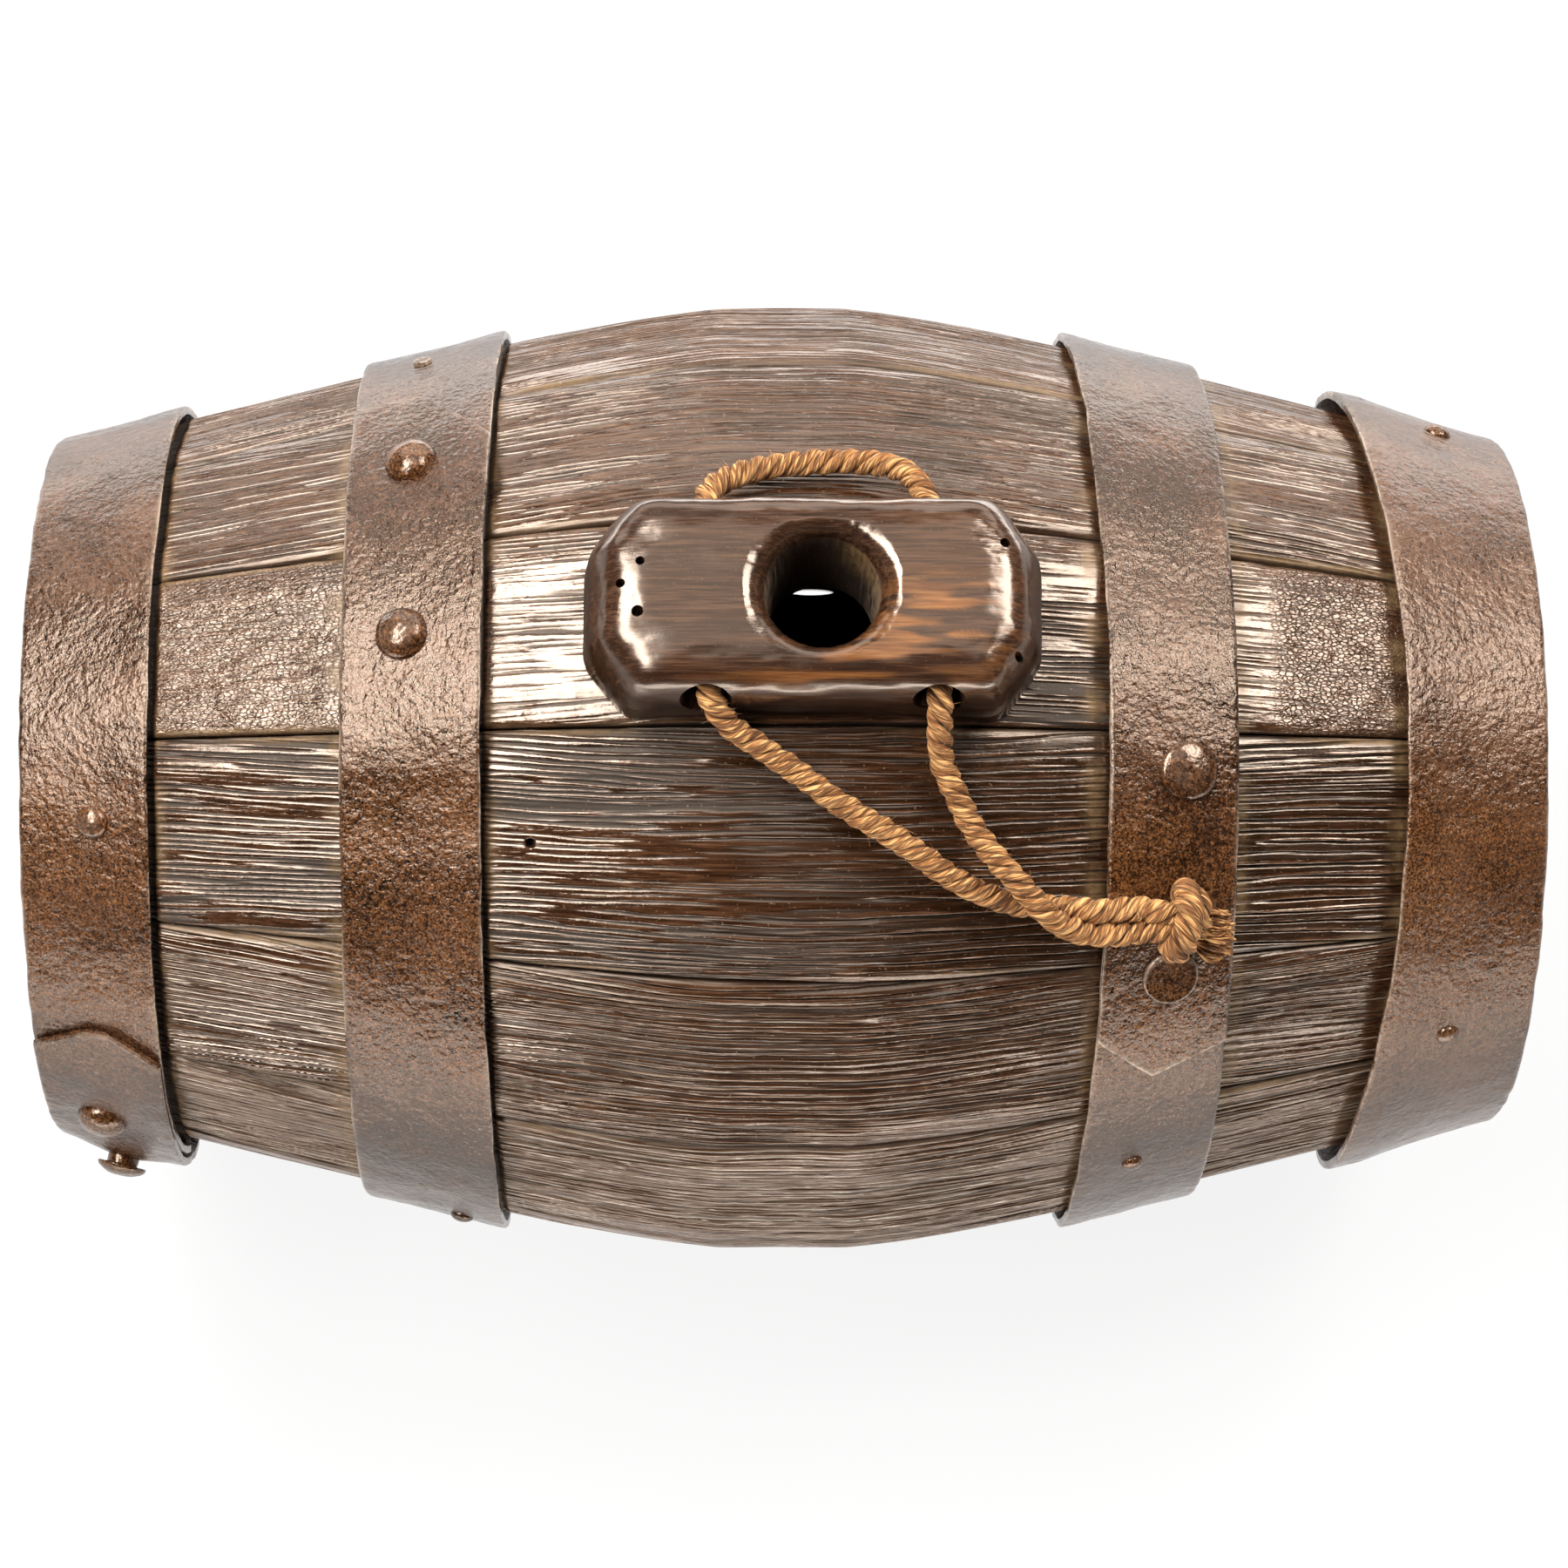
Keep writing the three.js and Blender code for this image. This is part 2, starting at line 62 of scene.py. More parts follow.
# Keg: the same driving dimensions as its solids
HALF_LENGTH = 150 * MM
BILGE_RADIUS = 99.5 * MM
TAPER = 0.257
KNEE = 36 * MM
REST_HALF = 13 * MM
STAVE_THICKNESS = 12 * MM
SEAM_GAP = 0.4 * MM
FIT_GAP = 0.35 * MM
CROWN_FLAT = 0.65
BUNG_STAVE_WIDTH = 25.2
BOTTOM_STAVE_WIDTH = 26
FRONT_WIDTHS = (29, 24.4, 25, 25.6, 25.2, 25.2)
BACK_WIDTHS = (26.2, 25.4, 25.9, 25.5, 25.8, 25.6)
CROZE_CENTRE = 136.8 * MM
CROZE_FLOOR = 4.4 * MM
CROZE_MOUTH = 5.6 * MM
CROZE_DEPTH = 4 * MM
CHIME_THICKNESS = 7 * MM


# Keg form: a point is given by its place along X, its distance from the axis and its angle from the bung
# towards the front, in degrees
def stave_radius(x):
    run = np.maximum(np.abs(x), REST_HALF)
    return BILGE_RADIUS - TAPER * (np.hypot(run, KNEE) - KNEE)


AXIS_HEIGHT = float(stave_radius(REST_HALF) * np.cos(np.radians(CROWN_FLAT * BOTTOM_STAVE_WIDTH / 2)))
KEG_CENTRE = (0, 0, AXIS_HEIGHT)


def around(x, radius, degrees):
    turn = np.radians(degrees)
    places = (x, -radius * np.sin(turn), AXIS_HEIGHT + radius * np.cos(turn))
    return np.stack(np.broadcast_arrays(*places), -1)


def keg_place(points):
    """X, distance from the axis and angle from the bung of points in the row frame."""
    y, z = points[:, 1], points[:, 2] - AXIS_HEIGHT
    return points[:, 0], np.hypot(y, z), np.degrees(np.arctan2(-y, z))


# Camera
CAMERA_PLACE = (-14 * MM, -320.6 * MM, 1045 * MM)
CAMERA_LENS = 108.94
CAMERA_SENSOR = 36
CAMERA_SHIFT = (0.0023, -0.0027)
CAMERA_ANGLE = 18.7             # degrees from the bung towards the front


def face_from(thing, place, target):
    """Put a camera or a lamp at a place and turn it to a target, upright in the picture."""
    thing.location = place
    away = (Vector(place) - Vector(target)).normalized()
    tilt = np.radians(CAMERA_ANGLE)
    right = Vector((0, np.cos(tilt), np.sin(tilt))).cross(away).normalized()
    thing.rotation_euler = Matrix((right, away.cross(right), away)).transposed().to_euler()


def link(thing):
    bpy.context.scene.collection.objects.link(thing)
    return thing


def add_camera():
    data = bpy.data.cameras.new("photo_camera")
    data.sensor_width = CAMERA_SENSOR
    data.lens = CAMERA_LENS
    data.shift_x, data.shift_y = CAMERA_SHIFT
    camera = link(bpy.data.objects.new("photo_camera", data))
    face_from(camera, CAMERA_PLACE, KEG_CENTRE)
    bpy.context.scene.camera = camera


# Noise that is the same on every run
SCRAMBLE = (0x9E3779B1, 0x85EBCA77, 0xC2B2AE3D)
STIR = np.uint32(0x2C1B3C6D)
ROW_STRETCH = 0.45              # how far the stretch of a streak differs from row to row
ROW_SHIFT = 50                  # and its start


def scrambled(seed, *cells):
    """A number from -1 to 1 for each whole cell."""
    mixed = np.full(np.shape(cells[0]), seed, np.uint32)
    for cell, factor in zip(cells, SCRAMBLE):
        mixed = mixed ^ (np.asarray(cell).astype(np.int64).astype(np.uint32) * np.uint32(factor))
        mixed = (mixed ^ (mixed >> np.uint32(15))) * STIR
        mixed = mixed ^ (mixed >> np.uint32(13))
    return mixed / 2.0**31 - 1


def eased(t):
    return t * t * (3 - 2 * t)


def soft_step(low, high, value):
    return eased(np.clip((value - low) / (high - low), 0, 1))


def fade(distance, width):
    """1 at no distance, falling quickly at first and then slowly."""
    return np.exp(-distance / width)


def bell(distance, width):
    """1 at no distance, falling slowly at first, as a bell does."""
    return np.exp(-((distance / width) ** 2))


def wave(turns):
    return np.sin(2 * np.pi * turns)


def noise(seed, *places):
    """Smooth noise from -1 to 1 over up to three coordinates, with cells of 1."""
    places = np.broadcast_arrays(*places)
    cells = [np.floor(p) for p in places]
    parts = [eased(p - c) for p, c in zip(places, cells)]
    total = 0
    for corner in itertools.product((0, 1), repeat=len(places)):
        weight = 1
        for part, side in zip(parts, corner):
            weight = weight * (part if side else 1 - part)
        total = total + weight * scrambled(seed, *(c + s for c, s in zip(cells, corner)))
    return total


def fractal(seed, *places, octaves=3):
    """Noise with finer and weaker noise on it."""
    return sum(noise(seed + 7 * k, *(p * 2**k for p in places)) / 2**k for k in range(octaves)) / 1.5


def streaks(seed, along, across):
    """Uneven streaks: each row across has its own noise along it, with its own stretch and start."""
    along, across = np.broadcast_arrays(along, across)
    row = np.floor(across)
    part = eased(across - row)
    total = 0
    for own, weight in ((row, 1 - part), (row + 1, part)):
        place = along * (1 + ROW_STRETCH * scrambled(seed, own)) + ROW_SHIFT * scrambled(seed + 1, own)
        cell = np.floor(place)
        between = eased(place - cell)
        here, there = scrambled(seed + 2, cell, own), scrambled(seed + 2, cell + 1, own)
        total = total + weight * (here + (there - here) * between)
    return total


# Lines and rings of points
def unit(vectors):
    return vectors / np.linalg.norm(vectors, axis=-1, keepdims=True)


def run_along(points):
    """Length of the line through points, up to each of them."""
    return np.concatenate([[0], np.cumsum(np.linalg.norm(np.diff(points, axis=0), axis=1))])


def evened(points, count):
    """Points spaced evenly along their own line."""
    run = run_along(points)
    even = np.linspace(0, run[-1], count)
    return np.stack([np.interp(even, run, points[:, k]) for k in range(points.shape[1])], -1)


def softened(points, width, closed):
    """Points averaged with their neighbours, over a width given in steps."""
    reach = np.arange(-3 * width, 3 * width + 1)
    weights = bell(reach, width)
    weights /= weights.sum()
    padded = np.pad(points, ((3 * width, 3 * width), (0, 0)), mode="wrap" if closed else "edge")
    return np.stack([np.convolve(padded[:, k], weights, "valid") for k in range(points.shape[1])], -1)


def circle(sides):
    return np.arange(sides) * 2 * np.pi / sides


def spokes(first, second, turn):
    """Directions at some angles from a first direction to a second one, at each point of a line."""
    return np.cos(turn)[None, :, None] * first[:, None] + np.sin(turn)[None, :, None] * second[:, None]


# Meshes
UV_MAP = "OFBake"
END_BAND = 0.95                 # the share of the texture that a loft's skin has, with its ends beside it
END_MARGIN = 0.01
END_WIDTH = 0.45


def flat_map(ring):
    """A closed ring's points in the plane that it fills best, from 0 to 1 each way."""
    centred = ring - ring.mean(0)
    axes = np.linalg.svd(centred, full_matrices=False)[2]
    flat = centred @ axes[:2].T
    return (flat - flat.min(0)) / np.maximum(np.ptp(flat, axis=0), 1e-9)


def loft(rings):
    """Points, polygons and texture places of a closed skin over rings, with a face on each end ring."""
    count, sides = rings.shape[:2]
    index = np.arange(count * sides).reshape(count, sides)
    turned = np.roll(index, -1, 1)
    quads = np.stack([index[:-1], turned[:-1], turned[1:], index[1:]], -1).reshape(-1, 4)
    ends = np.stack([index[0, ::-1], index[-1]])
    u = np.broadcast_to(np.linspace(0, 1, count)[:, None], (count, sides))
    v = np.broadcast_to(np.arange(sides) / sides * END_BAND, (count, sides))
    low = np.stack([u, v], -1)
    high = low + (0, END_BAND / sides)
    quad_places = np.stack([low[:-1], high[:-1], high[1:], low[1:]], 2).reshape(-1, 4, 2)
    strip = np.array([END_WIDTH, 1 - END_MARGIN - END_BAND])
    end_places = np.stack([
        flat_map(rings[0])[::-1] * strip + (0, END_BAND + END_MARGIN),
        flat_map(rings[-1]) * strip + (0.5, END_BAND + END_MARGIN),
    ])
    points = rings.reshape(-1, 3)
    corner = points[quads] - points.mean(0)
    volume = (corner[:, 0] * np.cross(corner[:, 1] + corner[:, 3], corner[:, 2])).sum()
    volume += (corner[:, 0] * np.cross(corner[:, 2], corner[:, 3] - corner[:, 1])).sum()
    if volume < 0:
        quads, ends = quads[:, ::-1], ends[:, ::-1]
        quad_places, end_places = quad_places[:, ::-1], end_places[:, ::-1]
    return points, [quads, ends], [quad_places, end_places]


def joined(parts):
    """Several forms as one, with their values by point. A part is a form and its values."""
    forms, values = zip(*parts)
    starts = np.cumsum([0] + [len(form[0]) for form in forms])
    polygons = [face + start for form, start in zip(forms, starts) for face in form[1]]
    points = np.concatenate([form[0] for form in forms])
    return (points, polygons, None), {key: np.concatenate([own[key] for own in values]) for key in values[0]}


def make_mesh(name, form, values=None):
    """A smooth-shaded mesh with flat ends, and with values given by point."""
    points, polygons, places = form
    mesh = bpy.data.meshes.new(name)
    mesh.vertices.add(len(points))
    mesh.vertices.foreach_set("co", points.astype(np.float32).ravel())
    corners = np.concatenate([p.ravel() for p in polygons]).astype(np.int32)
    sizes = np.concatenate([np.full(len(p), p.shape[1]) for p in polygons])
    mesh.loops.add(len(corners))
    mesh.loops.foreach_set("vertex_index", corners)
    mesh.polygons.add(len(sizes))
    mesh.polygons.foreach_set("loop_start", (np.cumsum(sizes) - sizes).astype(np.int32))
    mesh.update(calc_edges=True)
    mesh.shade_smooth()
    if places is not None:
        layer = mesh.uv_layers.new(name=UV_MAP)
        flat = np.concatenate([p.reshape(-1, 2) for p in places]).astype(np.float32)
        layer.uv.foreach_set("vector", flat.ravel())
        for end in mesh.polygons[-2:]:
            end.use_smooth = False
    set_values(mesh, values or {})
    return mesh


def set_values(mesh, values):
    for key, value in values.items():
        value = np.asarray(value, np.float32)
        kind, field = ("FLOAT_VECTOR", "vector") if value.ndim == 2 else ("FLOAT", "value")
        mesh.attributes.new(key, kind, "POINT").data.foreach_set(field, value.ravel())


def add_object(name, mesh, material):
    mesh.materials.clear()
    mesh.materials.append(material)
    return link(bpy.data.objects.new(name, mesh))


def dress(node, suffix, mesh, material, body="keg"):
    """A new piece that stands for one CAD node."""
    piece = add_object(f"{node}_{suffix}", mesh, material)
    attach(piece, body)
    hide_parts(node)
    return piece


# Shaders
class Value:
    """An output of a shader node, which is added and multiplied as a number is."""

    def __init__(self, graph, socket):
        self.graph, self.socket = graph, socket

    def __add__(self, other):
        return self.graph.math("ADD", self, other)

    def __sub__(self, other):
        return self.graph.math("SUBTRACT", self, other)

    def __rsub__(self, other):
        return self.graph.math("SUBTRACT", other, self)

    def __mul__(self, other):
        return self.graph.math("MULTIPLY", self, other)

    __radd__ = __add__
    __rmul__ = __mul__

    def clamped(self):
        """The same sum or product, held between 0 and 1."""
        self.socket.node.use_clamp = True
        return self


class Graph:
    """A tree of shader nodes. Inputs of its nodes are values, numbers, vectors or colours."""

    def __init__(self, tree):
        self.tree = tree

    def feed(self, node, inputs):
        for key, value in inputs.items():
            if isinstance(value, Value):
                self.tree.links.new(value.socket, node.inputs[key])
            else:
                node.inputs[key].default_value = value

    def node(self, kind, inputs=None, **settings):
        node = self.tree.nodes.new(f"ShaderNode{kind}")
        for key, value in settings.items():
            setattr(node, key, value)
        self.feed(node, inputs or {})
        return node

    def value(self, output, kind, inputs=None, **settings):
        """One output of a new node."""
        return Value(self, self.node(kind, inputs, **settings).outputs[output])

    def read(self, name, output="Fac"):
        return self.value(output, "Attribute", attribute_name=name)

    def math(self, operation, first, second=0.0):
        return self.value(0, "Math", {0: first, 1: second}, operation=operation)

    def stretched(self, place, factors):
        return self.value(0, "VectorMath", {0: place, 1: factors}, operation="MULTIPLY")

    def cloud(self, place, scale, detail=3.0, roughness=0.55):
        """Noise over a place, scaled by one number or by one for each of its directions."""
        if isinstance(scale, tuple):
            place, scale = self.stretched(place, scale), 1.0
        inputs = {"Vector": place, "Scale": scale, "Detail": detail, "Roughness": roughness}
        return self.value("Fac", "TexNoise", inputs)

    def span(self, value, low, high, to_low=0.0, to_high=1.0):
        inputs = {"Value": value, "From Min": low, "From Max": high, "To Min": to_low, "To Max": to_high}
        return self.value("Result", "MapRange", inputs)

    def ramp(self, value, stops):
        node = self.node("ValToRGB", {"Fac": value})
        elements = node.color_ramp.elements
        while len(elements) < len(stops):
            elements.new(0.5)
        for element, (place, colour) in zip(elements, stops):
            element.position = place
            element.color = (*colour, 1)
        return Value(self, node.outputs["Color"])

    def mix(self, factor, first, second):
        """Two colours mixed by a factor."""
        first, second = ((*c, 1) if isinstance(c, tuple) else c for c in (first, second))
        return self.value(2, "Mix", {0: factor, 6: first, 7: second}, data_type="RGBA")

    def bump(self, height, distance):
        return self.value("Normal", "Bump", {"Height": height, "Distance": distance, "Strength": 1.0})

    def surface(self, inputs):
        """The material's own surface node, with its inputs fed."""
        node = self.tree.nodes["Principled BSDF"]
        self.feed(node, inputs)
        return node


def new_material(name):
    material = bpy.data.materials.new(name)
    material.use_nodes = True
    return material, Graph(material.node_tree)


# Wood: dark weathered oak, with open grain, dirt in its seams and a polish where hands wore it, with painted
# shade in its furrows, seams and cracks and painted highlights on its crests
# the palest stop, reached on crests and on the lightest staves, is a painted highlight: the gleam of wax
RIDGE_TONES = (
    (0.42, (0.016, 0.006, 0.002)), (0.52, (0.040, 0.016, 0.007)), (0.62, (0.082, 0.036, 0.017)),
    (0.76, (0.200, 0.128, 0.083)), (0.92, (0.440, 0.365, 0.295)),
)
# painted shade: the near-black put in furrows, seams, gaps, holes and cracks
FURROW_SHADE_TONE = (0.005, 0.002, 0.001)
DIRT_TONE = (0.20, 0.122, 0.054)
DUST_TONE = (0.30, 0.215, 0.145)
POLISH_TONES = ((0.40, (0.008, 0.003, 0.002)), (0.54, (0.030, 0.013, 0.007)), (0.68, (0.078, 0.038, 0.021)))
END_TONES = ((0.38, (0.010, 0.005, 0.002)), (0.50, (0.050, 0.026, 0.013)), (0.64, (0.130, 0.078, 0.043)))
WORN_TONES = ((0.32, (0.05, 0.017, 0.006)), (0.55, (0.20, 0.074, 0.020)), (0.78, (0.42, 0.19, 0.060)))
WAX_TINT = (1.0, 0.83, 0.69, 1)     # colour of the gleam on the wood
GLEAM = 0.95                        # its level, on the wood and on the iron
WOOD_BUMP = 0.14 * MM


def wood(name, lightness=1.0, sawn_ends=False):
    material, graph = new_material(name)
    cloud, span, ramp, mix = graph.cloud, graph.span, graph.ramp, graph.mix
    grain = graph.read("grain", "Vector")
    furrow, dirt, polish, worn, crackle = map(graph.read, ("furrow", "dirt", "polish", "worn", "crackle"))
    fibre = cloud(grain, (45, 1300, 900), 4)
    fleck = cloud(grain, (150, 4200, 900), 2)
    patch = cloud(grain, (28, 70, 40))
    grime = cloud(grain, (700, 900, 500))
    crinkle = cloud(grain, (230, 430, 300), 4)
    tone = 0.45 * fibre + 0.35 * fleck + 0.22 * patch + 0.10 * graph.read("tone")
    ridges = tuple((place, tuple(lightness * c for c in colour)) for place, colour in RIDGE_TONES)
    # furrows, seams, gaps and holes are painted near black, as shade
    colour = mix(furrow, ramp(tone, ridges), FURROW_SHADE_TONE)
    cells = {"Vector": graph.stretched(grain, (800, 1100, 700)), "Scale": 1.0}
    border = graph.value("Distance", "TexVoronoi", cells, feature="DISTANCE_TO_EDGE")
    # the cracks between the crackle's cells are painted dark, as shade, and pressed in by the bump
    cracks = span(border, 0.0, 0.13, 1.0, 0.0) * span(crackle, 0.8, 1.3, 0.0, 0.6)
    colour = mix(cracks, colour, FURROW_SHADE_TONE)
    end = 0.0
    if sawn_ends:
        facing = graph.value("X", "SeparateXYZ", {0: graph.value("Normal", "TexCoord")})
        end = span(graph.math("ABSOLUTE", facing), 0.85, 0.97)
        pores = cloud(grain, (1, 1100, 300), 4, 0.65)
        colour = mix(end, colour, ramp(pores, END_TONES))
    rubbed = mix(worn, ramp(tone, POLISH_TONES), ramp(tone, WORN_TONES))
    colour = mix(polish, colour, rubbed)
    soiled = (dirt * span(grime, 0.3, 0.6, 0.4, 1.0)).clamped()
    colour = mix(soiled, colour, DIRT_TONE)
    specks = span(cloud(grain, (1500, 1900, 1200), 2), 0.66, 0.74, 0.0, 0.5)
    colour = mix(specks * span(polish, 0.0, 1.0, 1.0, 0.3), colour, DUST_TONE)
    shine = span(patch, 0.35, 0.65, 0.19, 0.09) + 0.50 * furrow + 0.05 * polish + 0.35 * end - 0.05 * crackle
    relief = 0.45 * fibre + 0.12 * fleck + 0.25 * grime + crinkle * (2.7 * crackle) - 0.8 * cracks
    graph.surface({
        "Base Color": colour,
        "Roughness": (shine + 0.4 * soiled).clamped(),
        "Specular IOR Level": GLEAM,
        "Specular Tint": WAX_TINT,
        "Normal": graph.bump(relief * (1.0 - 0.35 * polish), WOOD_BUMP),
    })
    return material


# Iron: forged strap, brown with rust, pitted and waxed, rubbed bright along its edges, where a highlight is
# painted too
IRON_TONES = ((0.42, (0.008, 0.003, 0.001)), (0.51, (0.032, 0.013, 0.006)), (0.62, (0.100, 0.047, 0.024)))
STAIN_TONES = ((0.42, (0.022, 0.007, 0.002)), (0.60, (0.17, 0.064, 0.018)))
SPECK_TONES = ((0.42, (0.30, 0.105, 0.026)), (0.56, (0.34, 0.20, 0.11)))
# pale of the worn edges, which also stands for a painted highlight along them
EDGE_TONE = (0.40, 0.32, 0.25)
IRON_TINT = (1.0, 0.79, 0.64, 1)
IRON_BUMP = 0.37 * MM


def iron(name):
    material, graph = new_material(name)
    cloud, span, ramp, mix = graph.cloud, graph.span, graph.ramp, graph.mix
    place = graph.value("Object", "TexCoord")
    rusty = graph.read("rusty")
    blotch = cloud(place, 55, 6, 0.62)
    speck = cloud(place, 950, 4, 0.65)
    grit = cloud(place, 2100, 3, 0.6)
    peel = cloud(place, 700)
    area = cloud(place, 30, 6, 0.65)
    tone = 0.36 * blotch + 0.38 * speck + 0.27 * grit + graph.read("pale")
    stain = rusty * span(area + speck, 0.86, 1.10)
    colour = mix(stain, ramp(tone, IRON_TONES), ramp(grit, STAIN_TONES))
    dots = span(cloud(place, 1500, 2, 0.6), 0.58, 0.66, 0.0, 0.6) * span(rusty * blotch, 0.30, 0.62)
    colour = mix(dots, colour, ramp(area, SPECK_TONES))
    rubbed = span(blotch + 0.5 * speck, 0.66, 0.88)
    # the edges are painted pale where rubbed: bare metal, and a painted highlight along the lip
    worn = (graph.read("edge") * rubbed).clamped()
    relief = peel + 0.40 * speck + 0.16 * grit
    calm = 1.0 - 0.55 * graph.read("smooth")
    graph.surface({
        "Base Color": mix(worn, colour, EDGE_TONE),
        "Roughness": span(tone, 0.42, 0.62, 0.08, 0.17) + 0.10 * (stain + dots).clamped(),
        "Specular IOR Level": GLEAM,
        "Specular Tint": IRON_TINT,
        "Normal": graph.bump(relief * calm, IRON_BUMP),
    })
    return material


# Rope fibre: golden jute, soiled, with painted shade between its strands
FIBRE_TONES = ((0.40, (0.075, 0.028, 0.007)), (0.49, (0.29, 0.112, 0.030)), (0.59, (0.80, 0.45, 0.175)))
CREVICE_SHADE_TONE = (0.030, 0.012, 0.004)
FIBRE_BUMP = 0.7 * MM


def jute(name):
    material, graph = new_material(name)
    strand = graph.read("strand", "Vector")
    yarn = graph.cloud(strand, (260, 9, 5), 4)
    hair = graph.cloud(strand, (500, 30, 5), 2)
    soil = graph.cloud(strand, (90, 2, 5))
    tone = 0.55 * yarn + 0.45 * hair
    # painted shade between the strands and in the middle of the cut ends, with patches of soil
    shade_and_soil = (graph.read("crevice") + graph.span(soil, 0.55, 0.8, 0.0, 0.5)).clamped()
    graph.surface({
        "Base Color": graph.mix(shade_and_soil, graph.ramp(tone, FIBRE_TONES), CREVICE_SHADE_TONE),
        "Roughness": 0.78,
        "Specular IOR Level": 0.3,
        "Sheen Weight": 0.04,
        "Sheen Roughness": 0.5,
        "Normal": graph.bump(tone, FIBRE_BUMP),
    })
    return material


STAVE_WOOD = wood("stave_wood", sawn_ends=True)
HEAD_WOOD = wood("head_wood", 1.25)
DOWEL_WOOD = wood("dowel_wood", 2.2)
HOOP_IRON = iron("hoop_iron")
RIVET_IRON = iron("rivet_iron")
ROPE_FIBRE = jute("rope_fibre")

# Rope: its arch is laid by X, Y and height over the keg's axis, and its legs by X, angle from the bung
# and height over the staves, all in millimetres. A leg starts inside its hole, where the arch ends.
ROPE_RADIUS = 2.5 * MM
ROPE_LAY = 11 * MM              # length of one full turn of a strand, laid left-handed
ROPE_STEP = 0.45 * MM
CURVE_STEPS = 60
FRAME_START = (0.3, 0.5, 0.8)   # a direction that no rope starts in
STRANDS = 3
STRAND_SIDES = 14
STRAND_RADIUS = 0.49            # radius of a strand and its distance from the rope's middle, in rope radii
STRAND_OFFSET = 0.52
STRAND_WOBBLE = (0.06, 4 * MM)  # share of the offset, and length along the rope
STRAND_LUMPS = (0.10, 2.2 * MM)
YARNS = 5                       # ridges round a strand
YARN_HEIGHT = 0.07              # in strand radii
YARN_LAY = 0.9 * MM             # length of rope over which the ridges shift by a radian
CREVICE = (0.92, 0.55)          # distances from the rope's middle, in rope radii, between which it is painted dark, as shade between the strands
ROPE_HAIRS = 6000               # loose hairs on a metre of rope
KNOT_HAIRS = 5000
HAIR_POINTS = 5
HAIR_LENGTH = 2 * MM
HAIR_RADIUS = 0.04 * MM
HAIR_LEAN = (0.37, 0.61, 0.7)
HAIR_CORNERS = np.array([0, 2.09, 4.19])
BEND_REACH = 5 * MM             # half the length over which a leg bends when the loop is lifted
ARCH_SEED = 11
ARCH_ROUTE = (
    (-15.5, -9, 106.8), (-15.5, -3, 106.8), (-15.5, 5, 106.8), (-15.9, 14, 106.6), (-15.9, 19.4, 106.1),
    (-14.6, 23.2, 104.6), (-11.2, 26.5, 102.4), (-6.4, 29, 100.4), (-0.8, 30.6, 99), (5.5, 31.5, 98.3),
    (12.6, 31.4, 98.8), (18.4, 30.3, 100.2), (22.6, 27.8, 102.4), (25.4, 24, 104.6), (27.3, 19.5, 106.1),
    (28, 14, 106.6), (28.4, 5, 106.8), (28.4, -3, 106.8), (28.4, -9, 106.8),
)
LEFT_HOLE_ROUTE = ((-15.5, -9, 106.8), (-15.4, -14.5, 106.7), (-14.6, -19.6, 106.1), (-12.7, -22.4, 104.4))
RIGHT_HOLE_ROUTE = ((28.4, -9, 106.8), (28.4, -14.5, 106.7), (28.5, -19.2, 106.1), (28.6, -21.4, 104.9))
LEFT_LEG_ROUTE = (
    (-10, 13.56, 5.76), (-6.4, 14.8, 4.6), (-2.6, 16.3, 3.5), (2.5, 18.2, 3.1), (9.1, 21, 3.1),
    (15.8, 23.3, 3.1), (22.4, 25.7, 3.1), (30.1, 29, 3.1), (35.8, 31, 3.1), (42.8, 32.6, 3.1),
    (49.4, 33.3, 3.2), (54, 33.5, 4.6), (58.5, 33.6, 6.7), (63, 33.6, 7.3), (67, 33.5, 7.6),
)
RIGHT_LEG_ROUTE = (
    (28.7, 13.56, 8.02), (28.8, 15, 5.9), (29.5, 17.2, 3.9), (31.5, 19.7, 3.1), (34, 22.7, 3.1),
    (36.6, 25.2, 4), (39.8, 27.4, 6.6), (43, 29.2, 8.8), (46.2, 31.2, 9.3), (49.5, 33.2, 9.3),
    (53, 34.9, 8.3), (57, 36, 7.3), (61.5, 36.3, 7.5), (64.5, 36.3, 7.6), (67, 36.2, 7.7),
)

# Knot: its place by X, angle and height over the staves, and its runs in a frame of its own, in millimetres,
# with X along the keg, Y up the picture and Z out from the keg
KNOT_PLACE = (75.5, 34.6, 11)
LEFT_LEG_END = ((-7.4, 1.7, -3.4), (-4.4, 1.5, -1.6), (-1, 1.2, -0.2))
RIGHT_LEG_END = ((-7.4, -2.6, -3.3), (-4.4, -2.2, -2), (-1, -1.6, -1))
KNOT_TURN = (
    (2.4, -1, -3.6), (0.6, -4.4, -4.2), (-1.2, -6.2, -1.6), (-1.2, -4.6, 2.4), (-0.6, -0.6, 4.7),
    (0.2, 3.2, 3.4), (0.7, 5.2, 0), (1.6, 4.4, -3.4), (2.2, 1, -4.4),
)
KNOT_LOOP = ((0.6, 1, -3.8), (2, 3.6, -3), (2.8, 4.2, -0.2), (3, 2.2, 1.6), (3, -0.4, 1.2), (3.6, -2, 0.4))
KNOT_RUNS = ((KNOT_TURN, 1.15, 71), (KNOT_LOOP, 0.95, 73))      # route, thickness in ropes and seed
LEGS = (
    ("rope_leg_left", LEFT_HOLE_ROUTE, LEFT_LEG_ROUTE, LEFT_LEG_END, 31),
    ("rope_leg_right", RIGHT_HOLE_ROUTE, RIGHT_LEG_ROUTE, RIGHT_LEG_END, 57),
)
TAIL_START = (1.5, -1.6, -0.6)
TAIL_END = (9.4, -3.6, -1.0)
TAIL_START_SPREAD = (0, 2.6, 2.2)       # half height and half depth of the tail
TAIL_END_SPREAD = (0, 4.4, 3.2)
TAIL_YARNS = 420
TAIL_YARN_POINTS = 9
